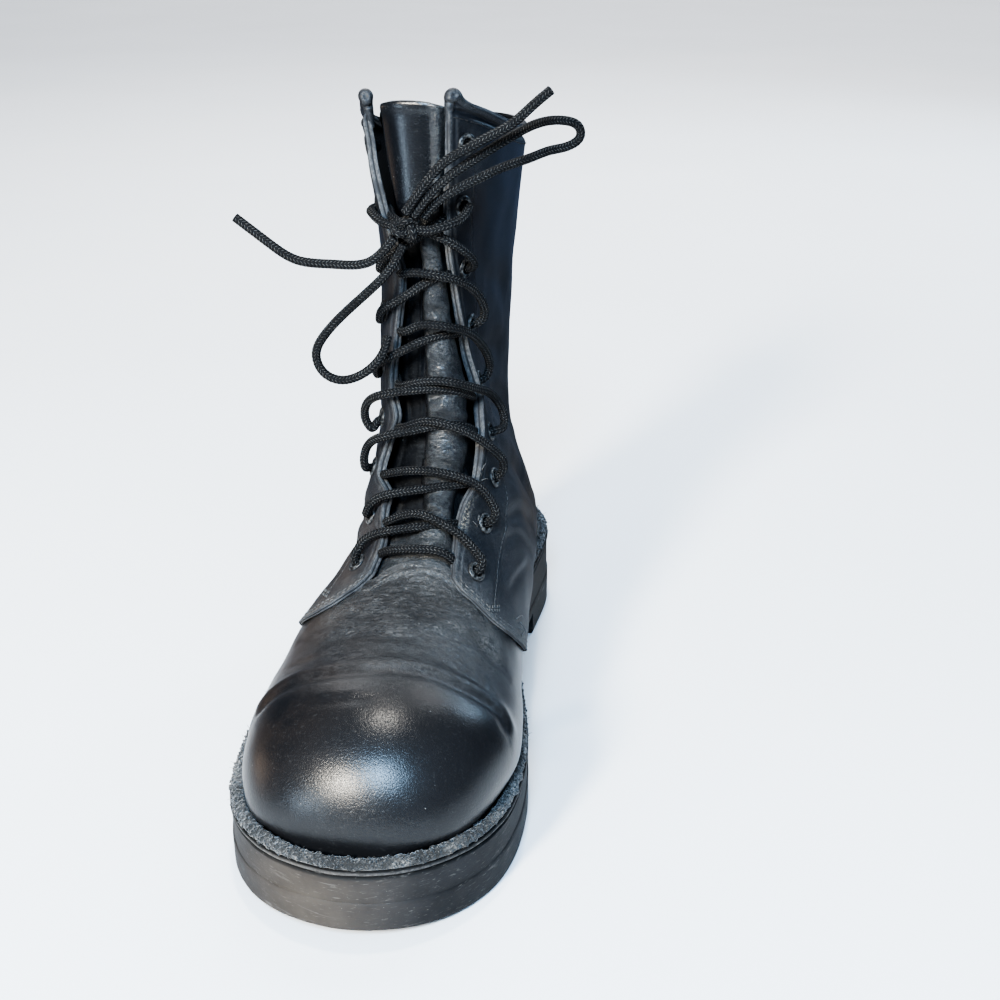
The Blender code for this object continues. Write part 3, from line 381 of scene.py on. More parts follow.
def smoothstep(low, high, value):
    """Rise from 0 to 1 between low and high."""
    u = np.clip((np.asarray(value, float) - low) / (high - low), 0.0, 1.0)
    return u * u * (3 - 2 * u)


def bump(value, middle, width):
    """A rounded rise to 1 round the middle."""
    return np.exp(-((np.asarray(value, float) - middle) / width) ** 2)


def dying(distance, reach):
    """1 up to distance 0, then dying away."""
    return np.exp(-np.clip(distance, 0, None) / reach)


def joined(shapes):
    """Points and faces of several shapes as one."""
    points, faces, start = [], [], 0
    for some, corners in shapes:
        points.append(np.asarray(some))
        faces += [[start + i for i in face] for face in corners]
        start += len(some)
    return np.concatenate(points), faces


def outwards(mesh, merge=0.0):
    """Turns the faces outwards, after making points closer than merge one."""
    shape = bmesh.new()
    shape.from_mesh(mesh)
    if merge:
        bmesh.ops.remove_doubles(shape, verts=shape.verts, dist=merge)
    bmesh.ops.recalc_face_normals(shape, faces=shape.faces)
    shape.to_mesh(mesh)
    shape.free()


def new_object(name, data):
    thing = bpy.data.objects.new(name, data)
    bpy.context.scene.collection.objects.link(thing)
    return thing


def add_piece(name, shape, materials, replaces=(), sharp=None, attributes=None, face_slots=None):
    """A mesh from points in boot millimetres and faces, riding on the boot."""
    points, faces = shape
    mesh = bpy.data.meshes.new(name)
    faces = [tuple(int(i) for i in dict.fromkeys(face)) for face in faces]
    whole = [i for i, face in enumerate(faces) if len(face) > 2]
    mesh.from_pydata(metres(points).tolist(), [], [faces[i] for i in whole])
    if face_slots is not None:
        mesh.polygons.foreach_set("material_index", [face_slots[i] for i in whole])
    for key, values in (attributes or {}).items():
        layer = mesh.attributes.new(key, "FLOAT", "POINT")
        layer.data.foreach_set("value", np.asarray(values, np.float32).ravel())
    outwards(mesh, MERGE)
    mesh.shade_smooth()
    if sharp:
        mesh.set_sharp_from_angle(angle=math.radians(sharp))
    for finish in materials:
        mesh.materials.append(finish)
    piece = new_object(name, mesh)
    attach(piece, "root")
    if replaces:
        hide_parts(*replaces)
    return piece


def grid_faces(rows, columns, start=0):
    """Faces of a grid of points stored row by row."""
    index = start + np.arange(rows * columns).reshape(rows, columns)
    corners = (index[:-1, :-1], index[:-1, 1:], index[1:, 1:], index[1:, :-1])
    return np.stack(corners, axis=-1).reshape(-1, 4).tolist()


def ring_faces(rings, count, closed=False):
    """Faces of rings of points, one after another; closed joins the last to the first."""
    index = np.arange(rings * count).reshape(rings, count)
    if closed:
        index = np.vstack([index, index[:1]])
    after = np.roll(index, -1, axis=1)
    corners = (index[:-1], after[:-1], after[1:], index[1:])
    return np.stack(corners, axis=-1).reshape(-1, 4).tolist()


# A raw edge in two layers, as (part of the thickness, how far it stands out in mm).
RAW_EDGE = ((0.08, 0.22), (0.22, 0.40), (0.38, 0.36), (0.46, 0.10), (0.51, 0.02), (0.56, 0.10), (0.66, 0.36),
            (0.82, 0.40), (0.94, 0.22))


def shell(outer, inner, edge, plain):
    """Points, faces, face slots and edge flags of a wall between two grids of the same size.

    edge lists the border places (row, column) that show as a raw edge, in order, and plain
    the border lines that are only closed.
    """
    rows, columns = outer.shape[:2]
    count = rows * columns
    points = [outer.reshape(-1, 3), inner.reshape(-1, 3)]
    faces = grid_faces(rows, columns) + grid_faces(rows, columns, count)
    slots = [0] * (len(faces) // 2) + [1] * (len(faces) // 2)
    flags = [np.zeros(2 * count)]
    at = np.array(edge)
    top = outer[at[:, 0], at[:, 1]]
    under = inner[at[:, 0], at[:, 1]]
    out = top - outer[np.clip(at[:, 0], 1, rows - 2), np.clip(at[:, 1], 1, columns - 2)]
    out /= np.linalg.norm(out, axis=1)[:, None] + 1e-9
    start = 2 * count
    lines = [at[:, 0] * columns + at[:, 1]]
    for part, stand in RAW_EDGE:
        points.append(top + (under - top) * part + out * stand)
        flags.append(np.full(len(at), 1.0 if stand > 0.15 else 0.55))
        lines.append(np.arange(start, start + len(at)))
        start += len(at)
    lines.append(count + lines[0])
    for a, b in zip(lines[:-1], lines[1:]):
        faces += np.stack([a[:-1], a[1:], b[1:], b[:-1]], axis=1).tolist()
    slots += [2] * (len(faces) - len(slots))
    for line in plain:
        a = np.array(line) @ (columns, 1)
        faces += np.stack([a[:-1], a[1:], count + a[1:], count + a[:-1]], axis=1).tolist()
    slots += [0] * (len(faces) - len(slots))
    return (np.concatenate(points), faces), slots, np.concatenate(flags)


def wall_fields(edge, inner, **fields):
    """A wall's attributes: on its outer face, a share of them on the inner, none on raw edges."""
    pad = np.zeros(len(edge) - 2 * fields["wear"].size)
    spread = {key: np.concatenate([field.ravel(), inner * field.ravel(), pad]) for key, field in fields.items()}
    return {**spread, "edge": edge}


def route_distance(up, d, route):
    """Signed distance to a line on the skin and the distance from its nearer end."""
    best = np.full(up.shape, 1e9)
    sign = np.ones(up.shape)
    place = np.zeros(up.shape)
    travelled = 0.0
    route = np.asarray(route, float)
    for (a_up, a_d), (b_up, b_d) in zip(route[:-1], route[1:]):
        run_up, run_d = b_up - a_up, b_d - a_d
        length = math.hypot(run_up, run_d)
        part = np.clip(((up - a_up) * run_up + (d - a_d) * run_d) / length ** 2, 0, 1)
        off_up, off_d = up - a_up - part * run_up, d - a_d - part * run_d
        distance = np.hypot(off_up, off_d)
        closer = distance < best
        best = np.where(closer, distance, best)
        sign = np.where(closer, np.sign(run_d * off_up - run_up * off_d), sign)
        place = np.where(closer, travelled + part * length, place)
        travelled += length
    return best * sign, np.minimum(place, travelled - place)


def fold(up, d, route, width, depth, lip=0.0, ends=9.0):
    """A soft trough along a route, with a raised lip on the route's left side."""
    route = np.asarray(route, float)
    length = along(route)
    smooth = spline(length, route, np.linspace(0.0, length[-1], max(4, int(length[-1] / 4.0))))
    distance, from_end = route_distance(up, d, smooth)
    ridge = lip * bump(distance, 1.5 * width, 1.1 * width)
    return (ridge - depth * bump(distance, 0.0, width)) * smoothstep(0.0, ends, from_end + 0.3 * ends)


def tube(line, radius, sides):
    """Shape of a round tube along a line, and each point's place along it and angle round it."""
    ahead = np.gradient(line, axis=0)
    ahead /= np.linalg.norm(ahead, axis=1)[:, None]
    side = np.cross(ahead[0], (0.0, 0.3, 1.0))
    if np.linalg.norm(side) < 0.1:
        side = np.cross(ahead[0], (1.0, 0.0, 0.0))
    frames = []
    for direction in ahead:
        side = side - direction * np.dot(side, direction)
        side /= np.linalg.norm(side)
        frames.append((side, np.cross(side, direction)))
    frames = np.array(frames)[:, :, None]
    angle = 2 * math.pi * np.arange(sides) / sides
    radii = radius if np.ndim(radius) == 2 else radius[:, None] * np.ones(sides)
    spokes = np.cos(angle)[:, None] * frames[:, 0] + np.sin(angle)[:, None] * frames[:, 1]
    points = (line[:, None] + radii[:, :, None] * spokes).reshape(-1, 3)
    faces = ring_faces(len(line), sides)
    faces += [list(range(sides)), list(range(len(points) - sides, len(points)))]
    return (points, faces), np.repeat(along(line), sides), np.tile(angle, len(line))


# ---- materials -------------------------------------------------------------------------


class Nodes:
    """Short ways to build the node tree of a new material or of the world."""

    def __init__(self, name, owner=None):
        self.owner = owner or bpy.data.materials.new(name)
        self.owner.use_nodes = True
        self.tree = self.owner.node_tree
        self.where = self.add("TexCoord")
        self.place = self.where.outputs["Object"]

    def add(self, kind, inputs=(), **settings):
        node = self.tree.nodes.new("ShaderNode" + kind)
        for key, value in settings.items():
            setattr(node, key, value)
        for key, value in dict(inputs).items():
            self.feed(node.inputs[key], value)
        return node

    def feed(self, socket, value):
        if isinstance(value, bpy.types.NodeSocket):
            self.tree.links.new(value, socket)
        else:
            socket.default_value = value

    def noise(self, scale, detail=3.0, rough=0.55, place=None, distortion=0.0):
        inputs = {"Vector": place or self.place, "Scale": scale, "Detail": detail, "Roughness": rough,
                  "Distortion": distortion}
        return self.add("TexNoise", inputs).outputs["Fac"]

    def cells(self, scale, feature="F1"):
        texture = self.add("TexVoronoi", {"Vector": self.place, "Scale": scale}, feature=feature)
        return texture.outputs["Distance"]

    def stretched(self, *scale):
        return self.add("Mapping", {"Vector": self.place, "Scale": scale}).outputs["Vector"]

    def axis(self, name):
        return self.add("SeparateXYZ", {0: self.place}).outputs[name]

    def attribute(self, name):
        return self.add("Attribute", attribute_name=name).outputs["Fac"]

    def math(self, operation, a, b=0.0, clamp=False):
        return self.add("Math", {0: a, 1: b}, operation=operation, use_clamp=clamp).outputs[0]

    def times(self, a, b, clamp=False):
        return self.math("MULTIPLY", a, b, clamp)

    def plus(self, a, b, clamp=False):
        return self.math("ADD", a, b, clamp)

    def ramp(self, value, low, high, start=0.0, end=1.0):
        ends = {"Value": value, "From Min": low, "From Max": high, "To Min": start, "To Max": end}
        return self.add("MapRange", ends, interpolation_type="SMOOTHSTEP").outputs["Result"]

    def mix(self, amount, a, b):
        a, b = ((*tone, 1.0) if isinstance(tone, tuple) else tone for tone in (a, b))
        return self.add("Mix", {0: amount, 6: a, 7: b}, data_type="RGBA").outputs[2]

    def finish(self, colour, roughness, bumps, **constants):
        """Ends a material; its bumps are (height, strength, distance in metres), laid in a row."""
        inputs = self.tree.nodes["Principled BSDF"].inputs
        before = {}
        for height, strength, distance in bumps:
            node = self.add("Bump", {"Height": height, "Strength": strength, "Distance": distance, **before})
            before = {"Normal": node.outputs["Normal"]}
        for key, value in {"Base Color": colour, "Roughness": roughness, **before, **constants}.items():
            self.feed(inputs[key.replace("_", " ")], value)
        return self.owner


def leather(name, base, rough, dull=0.0, grain=1.0, level=0.42):
    """Black leather: fine grain, wrinkles where it bends, greyed wear on edges and folds, dust."""
    n = Nodes(name)
    wear, crack, warm, tan = (n.attribute(field) for field in ("wear", "crack", "warm", "tan"))
    patches = n.noise(34.0, 5.0, 0.6)
    speck = n.noise(1100.0, 4.0, 0.7)
    drag = n.noise(1100.0, 6.0, 0.74, n.stretched(0.26, 1.0, 0.85), 0.8)
    smear = n.noise(75.0, 4.0, 0.6, n.stretched(0.4, 1.0, 1.0), 1.0)
    pores = n.ramp(n.cells(1900.0), 0.05, 0.5)
    crackle = n.ramp(n.cells(700.0, "DISTANCE_TO_EDGE"), 0.0, 0.16)
    wrinkle = n.noise(330.0, 6.0, 0.72, n.stretched(0.42, 1.0, 0.9), 1.4)
    lines = n.ramp(n.math("ABSOLUTE", n.math("SUBTRACT", wrinkle, 0.5)), 0.0, 0.05)
    tone = n.mix(patches, tuple(c * 0.7 for c in base), tuple(c * 1.35 for c in base))
    # warm brown where the warm field is: a brown tint on the quarters, and on the vamp's outer side a painted
    # warm reflection
    tone = n.mix(n.times(warm, n.ramp(patches, 0.30, 0.66)), tone, (0.046, 0.030, 0.020))
    # dust in the wrinkles and on the skin between them
    dust = n.times(n.ramp(smear, 0.34, 0.66, 0.40, 1.0), n.ramp(drag, 0.42, 0.60, 0.15, 1.0))
    haze = n.times(crack, n.plus(0.04, n.times(dust, 0.40)))
    tone = n.mix(haze, tone, (0.125, 0.125, 0.124))
    scuff = n.ramp(n.plus(n.times(drag, 0.62), n.times(speck, 0.38)), 0.52, 0.66)
    amount = n.plus(0.05 + dull, n.times(crack, 0.34))
    scuffed = n.times(scuff, n.times(amount, n.ramp(smear, 0.3, 0.62)), True)
    tone = n.mix(scuffed, tone, (0.24, 0.24, 0.23))
    folded = n.times(n.times(n.math("SUBTRACT", 1.0, lines), n.ramp(patches, 0.42, 0.60)), crack)
    tone = n.mix(n.times(folded, 0.22), tone, (0.26, 0.26, 0.25))
    dots = n.times(n.ramp(n.cells(260.0), 0.055, 0.02), n.ramp(drag, 0.5, 0.6), True)
    tone = n.mix(dots, tone, (0.36, 0.35, 0.33))
    tone = n.mix(n.times(wear, n.ramp(speck, 0.25, 0.75), True), tone, (0.20, 0.197, 0.19))
    tone = n.mix(n.times(tan, n.ramp(drag, 0.48, 0.62), True), tone, (0.33, 0.285, 0.22))
    shine = n.plus(rough, n.times(patches, 0.10))
    shine = n.plus(shine, n.times(n.times(scuff, amount), 0.6))
    shine = n.plus(shine, n.times(crack, 0.16))
    shine = n.plus(shine, n.times(wear, 0.25), True)
    bumps = ((patches, 0.16, 0.0014),
             (lines, n.times(crack, 0.85), 0.00024),
             (crackle, n.plus(0.12, n.times(crack, 0.40)), 0.00016),
             (pores, 0.30 * grain, 0.00009),
             (speck, 0.24 * grain, 0.00010))
    return n.finish(tone, shine, bumps, Specular_IOR_Level=level)


def raw_edge():
    """Cut leather edge, grey and fibrous with a dark line between its two layers."""
    n = Nodes("cut_edge")
    fibre = n.noise(1400.0, 4.0, 0.7, n.stretched(1.0, 1.0, 0.5))
    patches = n.noise(90.0, 4.0, 0.6)
    grey = n.mix(n.ramp(fibre, 0.3, 0.72), (0.032, 0.033, 0.036), (0.12, 0.12, 0.12))
    grey = n.mix(n.ramp(patches, 0.42, 0.64), grey, (0.030, 0.031, 0.034))
    tone = n.mix(n.ramp(n.attribute("edge"), 0.45, 0.9), (0.010, 0.010, 0.011), grey)
    return n.finish(tone, 0.85, ((fibre, 0.6, 0.0003),))


def rubber():
    """Dusty black rubber, browner where the light warms it, with scratches along the side."""
    n = Nodes("sole_rubber_worn")
    dust = n.noise(26.0, 6.0, 0.62)
    fine = n.noise(700.0, 5.0, 0.7)
    scratch = n.noise(300.0, 3.0, 0.6, n.stretched(1.0, 1.0, 7.0), 0.4)
    drag = n.noise(160.0, 4.0, 0.6, n.stretched(0.35, 0.35, 2.2), 1.2)
    brown = n.mix(n.ramp(dust, 0.25, 0.7), (0.034, 0.0275, 0.022), (0.080, 0.066, 0.053))
    tone = n.mix(n.ramp(dust, 0.3, 0.68), (0.009, 0.009, 0.010), (0.025, 0.0245, 0.026))
    # painted light: lighter and browner where the warm field is high, darker where it is low
    tone = n.mix(n.attribute("warm"), tone, brown)
    tone = n.mix(n.times(n.attribute("rim"), n.ramp(fine, 0.3, 0.7)), tone, (0.17, 0.165, 0.16))
    # painted shade in the groove under the rim and where the sole meets the welt
    tone = n.mix(n.attribute("groove"), tone, (0.010, 0.010, 0.010))
    tone = n.mix(n.times(n.ramp(scratch, 0.60, 0.74), 0.28), tone, (0.22, 0.205, 0.19))
    tone = n.mix(n.times(n.ramp(drag, 0.60, 0.78), 0.4), tone, (0.18, 0.168, 0.155))
    dots = n.times(n.ramp(n.cells(520.0), 0.060, 0.03), n.ramp(dust, 0.50, 0.62))
    tone = n.mix(dots, tone, (0.24, 0.23, 0.215))
    bumps = ((dust, 0.25, 0.0012), (drag, 0.35, 0.0003), (fine, 0.4, 0.0002))
    return n.finish(tone, n.ramp(dust, 0.2, 0.8, 0.52, 0.8), bumps, Specular_IOR_Level=0.20)


def felt():
    """Frayed grey felt, with painted shade deep in the strip by the upper, and darker along the waist and heel.
    """
    n = Nodes("welt_grit")
    lumps = n.cells(620.0)
    fine = n.noise(1500.0, 4.0, 0.7)
    patches = n.noise(60.0, 4.0, 0.6)
    pale = n.mix(n.ramp(fine, 0.35, 0.7), (0.05, 0.047, 0.044), (0.29, 0.28, 0.262))
    tone = n.mix(n.ramp(fine, 0.3, 0.7), (0.014, 0.0135, 0.013), (0.080, 0.076, 0.071))
    tone = n.mix(n.ramp(lumps, 0.1, 0.5), pale, tone)
    tone = n.mix(n.ramp(patches, 0.40, 0.58), tone, (0.017, 0.0165, 0.016))
    # painted shade deep in the strip, next to the upper that overhangs it
    tone = n.mix(n.times(n.attribute("welt_shade"), 0.85), tone, (0.008, 0.008, 0.008))
    tone = n.mix(n.times(n.ramp(n.axis("Y"), -0.075, -0.02), 0.8), tone, (0.010, 0.010, 0.0105))
    return n.finish(tone, 0.95, ((lumps, 0.8, 0.0006), (fine, 0.8, 0.0004)), Sheen_Weight=0.3)


def braid():
    """Herringbone of a braided round lace, from the place along it and the angle round it, with a painted sheen
    on its strands.
    """
    n = Nodes("lace_braid_black")
    angle = n.math("ARCTAN2", n.attribute("braid_s"), n.attribute("braid_c"))
    column = n.math("SINE", n.times(angle, float(BRAID_COLUMNS / 2)))
    slant = n.times(n.times(n.math("SIGN", column), angle), float(BRAID_COLUMNS))
    dash = n.math("COSINE", n.plus(n.times(n.attribute("braid_u"), 2 * math.pi / BRAID_PITCH), slant))
    middle = n.math("POWER", n.math("ABSOLUTE", column), 0.6)
    over = n.times(middle, n.plus(0.5, n.times(dash, 0.5)))
    grit = n.noise(1700.0, 3.0, 0.7)
    patch = n.noise(90.0, 3.0, 0.6)
    # the strands' crowns are painted lighter: a painted sheen on the black cord
    dark = n.mix(n.ramp(grit, 0.3, 0.7), (0.003, 0.003, 0.0035), (0.010, 0.010, 0.011))
    strand_sheen = n.mix(n.ramp(grit, 0.3, 0.7), (0.025, 0.024, 0.023), (0.112, 0.108, 0.101))
    tone = n.mix(n.times(n.ramp(over, 0.48, 0.85), n.ramp(patch, 0.3, 0.62, 0.35, 1.0)), dark, strand_sheen)
    return n.finish(tone, 0.70, ((over, 0.9, 0.0004), (grit, 0.5, 0.0002)), Specular_IOR_Level=0.18)


def thread():
    """Dusty grey thread, which is cleaner and brown-black up the shaft."""
    n = Nodes("stitch_thread")
    twist = n.noise(1800.0, 2.0, 0.5, n.stretched(1.0, 3.0, 1.0))
    strand = n.ramp(twist, 0.3, 0.7)
    dusty = n.mix(strand, (0.030, 0.029, 0.028), (0.12, 0.116, 0.11))
    clean = n.mix(strand, (0.008, 0.008, 0.009), (0.040, 0.034, 0.030))
    tone = n.mix(n.ramp(n.axis("Z"), 0.10, 0.15), dusty, clean)
    return n.finish(tone, 0.75, ((twist, 0.5, 0.0002),))


def enamel():
    """Black enamel, chipped to grey metal on the rims."""
    n = Nodes("eyelet_worn")
    chip = n.noise(700.0, 4.0, 0.6)
    chipped = n.times(n.ramp(chip, 0.4, 0.66), n.attribute("wear"), True)
    tone = n.mix(chipped, (0.010, 0.010, 0.011), (0.15, 0.148, 0.142))
    return n.finish(tone, n.ramp(chip, 0.3, 0.7, 0.32, 0.6), ((chip, 0.25, 0.0002),), Metallic=0.35)


def cloth(name, low, high):
    """Plain woven lining."""
    n = Nodes(name)
    wave = {"Vector": n.place, "Scale": 260.0, "Distortion": 0.4}
    warp, weft = (n.add("TexWave", wave, bands_direction=way).outputs["Fac"] for way in ("Z", "DIAGONAL"))
    weave = n.times(warp, weft)
    soil = n.noise(45.0, 5.0, 0.6)
    tone = n.mix(n.ramp(n.plus(n.times(weave, 0.4), n.times(soil, 0.6)), 0.25, 0.75), low, high)
    return n.finish(tone, 0.92, ((weave, 0.5, 0.0003), (soil, 0.3, 0.001)), Specular_IOR_Level=0.15)


# ---- the leather upper -----------------------------------------------------------------


def edge_distance(t, side):
    """Distance from the top line to a flap's raw edge."""
    return table_at(FLAP_EDGES, np.asarray(t, float) - THROAT_T, side)


def front_place(part, side):
    """Place t of the quarters' front edge, at parts of the way from the flap down to the sole."""
    return THROAT_T + table_at(QUARTER_FRONT, part, side)


def skin_place(part, t, side):
    """Distance d of a place part of the way from the flap's edge (0) to the foot (1)."""
    edge = edge_distance(t, side)
    return side * (edge + (foot_distance(t, side) - edge) * part)


def side_part(t, d, side):
    """How far a place lies from the flap's edge (0) to the sole or back seam (1)."""
    edge = edge_distance(t, side)
    return np.clip((np.abs(d) - edge) / (foot_distance(t, side) - edge), 0.0, 1.0)


# Creases of the vamp where the toes bend: route (up, d), width, depth, lip.
VAMP_FOLDS = (
    (((-76, -56), (-68, -44), (-65, -33), (-62.5, -17), (-60, -2), (-57, 10.5), (-56, 23), (-57.5, 36),
      (-60, 50), (-70, 60)), 3.4, 1.15, 0.8),
    (((-80, -24), (-78, -10), (-76, 2)), 2.6, 0.45, 0.3),
    (((-22, -58), (-29, -40), (-33, -19), (-31, 1.5), (-24, 19), (-20, 31), (-28, 50)), 4.2, 0.7, 0.45),
    (((-17, 12), (-22, 28), (-25, 39), (-31, 53)), 2.6, 0.5, 0.3),
    (((-43, 24), (-47, 38), (-54, 51)), 2.4, 0.5, 0.35),
    (((-46, -48), (-48, -34), (-46, -20)), 3.2, 0.4, 0.25),
    (((-8, -34), (-15, -20), (-14, -4)), 2.6, 0.35, 0.2),
    (((-6, 14), (-9, 24), (-5, 33)), 2.2, 0.4, 0.25),
)
# Top edge of the vamp between the flaps: d, up.
VAMP_EDGE = ((-26.0, 9.5), (-21.0, 10.5), (-16.0, 16.0), (-10.0, 21.0), (1.0, 24.6), (11.0, 21.5), (15.0, 17.0))
# Folds of the quarters and the shaft, per side (1 inner, -1 outer).
QUARTER_FOLDS = {
    1: (
        (((66, 46), (78, 66), (84, 92), (82, 120)), 6, 1.5, 0.8),
        (((104, 60), (112, 84), (112, 112), (104, 140)), 7.5, 1.9, 1),
        (((134, 62), (146, 86), (150, 112), (146, 134)), 6.5, 1.6, 0.9),
        (((158, 52), (172, 74), (178, 98)), 6.5, 1.1, 0.6),
        (((196, 46), (206, 70), (204, 96)), 8, 0.9, 0.4),
        (((50, 40), (60, 54), (64, 74), (58, 92)), 4, 0.8, 0.5),
        (((20, 44), (36, 58), (50, 78)), 3, 0.5, 0.3),
        (((92, 44), (97, 56), (96, 72)), 2.6, 0.6, 0.4),
    ),
    -1: (
        (((60, 46), (74, 66), (80, 92), (76, 122)), 6, 1.5, 0.8),
        (((96, 50), (106, 76), (108, 108), (100, 138)), 7.5, 1.8, 1),
        (((128, 46), (140, 72), (146, 104), (140, 132)), 7, 1.7, 0.9),
        (((164, 40), (174, 66), (176, 96)), 6.5, 1, 0.6),
        (((200, 44), (210, 70), (206, 98)), 8, 0.9, 0.4),
        (((38, 46), (50, 60), (56, 84)), 4.2, 0.8, 0.5),
        (((84, 44), (90, 58), (90, 76)), 2.8, 0.6, 0.4),
    ),
}
# Seam of the eyelet facing: distance of the stitches from the top line, inner and outer.
FACING_SEAM = (
    (0, 35, 46), (39, 40, 44), (81, 49, 46), (108, 51, 44), (128, 54, 40), (155, 48, 36), (180, 38, 32),
    (200, 31.5, 31.5), (229, 28, 36), (262, 31, 42), (282.5, 32.5, 43),
)
# Outward curl of the flaps' raw edges.
EDGE_CURL = (
    (0, 0.2, 0.3), (45, 0.9, 0.6), (75, 1.7, 1.4), (100, 1.2, 1), (130, 2.2, 0.9), (165, 1.3, 0.5),
    (205, 0.8, 1), (245, 1.2, 1.7), (282.5, 1.2, 0.9),
)
CURL_REACH = 6.0
EDGE_EXTRA = 0.5         # the raw edge is this much thicker than the wall
EDGE_STEP = 0.9          # its inner layer stands out this far past the outer one
BINDING_DROP = 5.4       # the groove under the binding lies this far below the collar
# The binding starts on the flap's edge, swells into a knob and runs back along the collar:
# distance from the flap's edge, height over the collar, lift, radius.
BINDING_START = ((0.3, -13, -1.2, 1.1), (0.4, -9, -1, 1.5), (0.6, -5, -0.8, 1.9), (0.9, -1.5, -0.6, 2.3),
                 (1.6, 1.3, -0.5, 2.9), (3.4, 1.7, -0.6, 2.7), (5.6, 0.4, -0.7, 2), (9, -0.9, -0.8, 1.7),
                 (14, -1.4, -0.8, 1.65))
BINDING_KNOB_RISE = (-0.6, 0.0)
BINDING_DROP_BACK = 1.7
BINDING_STEP = 0.35
BINDING_SIDES = 28
# The rolled knobs are tucked in at the front: distance from the binding's end, and the way they face.
KNOB_DIMPLE = 12.3
DIMPLE_TOWARDS = np.array([0.22, -0.94, 0.26])


def slow_waves(point):
    """Slight unevenness of worked leather."""
    x, s, z = point[..., 0], point[..., 1], point[..., 2]
    return (0.22 * np.sin(x / 7.3 + 1.1 * np.sin(s / 13.0)) * np.sin(s / 9.1 + z / 11.0)
            + 0.16 * np.sin(s / 4.9 + 1.3 * np.sin(z / 6.1) + x / 8.0)
            + 0.10 * np.sin(z / 3.7 + 1.7 * np.sin(x / 5.3) + s / 5.9))


def eyelet_at(pair, side):
    up, inner, outer = EYELETS[pair]
    return up, side * (inner if side > 0 else outer)


# Where the seams run: below the vamp's top edge, inside the facing's seam, and behind the
# quarters' front edge.
VAMP_SEAM = 7.5
FACING_STITCH = 1.6
FRONT_SEAMS = (2.2, 5.0)


def vamp_lift(t, d):
    """Rise of the vamp's outer face over the upper's own surface."""
    up = t - THROAT_T
    lift = VAMP_LIFT + 0.5 * slow_waves(on_surface(t, d)[0]) * smoothstep(-118, -40, up)
    for route, width, depth, lip in VAMP_FOLDS:
        lift += fold(up, d, route, width, depth, lip)
    # the top edge is folded under and sewn
    below = table_at(VAMP_EDGE, d, 1) - up
    lift += smoothstep(30.0, 20.0, np.abs(d)) * (
        0.45 * bump(below, VAMP_SEAM, 1.3) - 0.35 * bump(below, 10.0, 1.0)
        + 0.35 * bump(below, 1.6, 1.5) - 0.25 * bump(below, 4.4, 1.2))
    wrinkle = np.sin(up / 1.55 + 2.2 * np.sin(d / 8.0) + 0.7 * np.sin(d / 3.1))
    return lift + 0.10 * wrinkle * bump(up, -16.0, 15.0) * smoothstep(40, 22, np.abs(d - 2))


def build_vamp(finishes):
    rows, half = 128, 84
    part = np.concatenate([-np.linspace(1, 0, half), np.linspace(0, 1, half)[1:]])
    throat_foot = np.where(part < 0, foot_distance(THROAT_T, -1), foot_distance(THROAT_T, 1))
    d_throat = part * throat_foot
    open_end = table_at(VAMP_EDGE, d_throat, 1)
    # under the quarters it runs on a little past their front edge
    end = np.empty(len(part))
    for i, d in enumerate(d_throat):
        side = 1 if part[i] > 0 else -1
        edge = float(edge_distance(THROAT_T, side))
        down = max(0.0, (abs(d) - edge) / (throat_foot[i] - edge))
        covered = float(front_place(np.array([down]), side)[0]) - THROAT_T + 9.0
        end[i] = open_end[i] + (covered - open_end[i]) * float(smoothstep(edge + 1.0, edge + 9.0, abs(d)))
    t = np.linspace(0, 1, rows)[:, None] ** 1.12 * (THROAT_T + end)
    d = part * np.where(part < 0, foot_distance(t, -1), foot_distance(t, 1))
    lift = VAMP_LIFT + (vamp_lift(t, d) - VAMP_LIFT) * smoothstep(1.0, 0.93, np.abs(part))
    outer, _ = on_surface(t, d, lift)
    inner, _ = on_surface(t, d, VAMP_LINING + 0.4 * (lift - VAMP_LIFT))
    for grid in (outer, inner):
        grid[:, (0, -1), 2] = rim_z(grid[:, (0, -1), 1]) + GAP
        grid[0, :, 2] = rim_z(grid[0, :, 1]) + GAP
    columns = len(part)
    top = [(rows - 1, j) for j in range(columns)]
    round_foot = [(i, 0) for i in range(rows - 1, -1, -1)] + [(0, j) for j in range(columns)]
    round_foot += [(i, columns - 1) for i in range(rows)]
    shape, slots, edge = shell(outer, inner, top, [round_foot])
    up = t - THROAT_T
    below = open_end - up
    ridge, _ = route_distance(up, d, VAMP_FOLDS[0][0])
    wear = 0.5 * bump(below, VAMP_SEAM, 1.0) * smoothstep(30, 20, np.abs(d)) + 0.7 * smoothstep(1.8, 0.2, below)
    wear += 0.07 * bump(ridge, -4.0, 3.0) * smoothstep(60, 30, np.abs(d))
    crack = smoothstep(-84, -30, up) * smoothstep(62, 30, np.abs(d - 3)) * (0.55 + 0.45 * bump(up, -6, 24))
    # painted warm reflection on the outer side of the toe
    warm = smoothstep(8, -46, d) * smoothstep(-128, -60, up) * 0.55
    return add_piece("vamp", shape, finishes, face_slots=slots,
                     attributes=wall_fields(edge, 1.0, wear=wear, crack=crack, warm=warm))


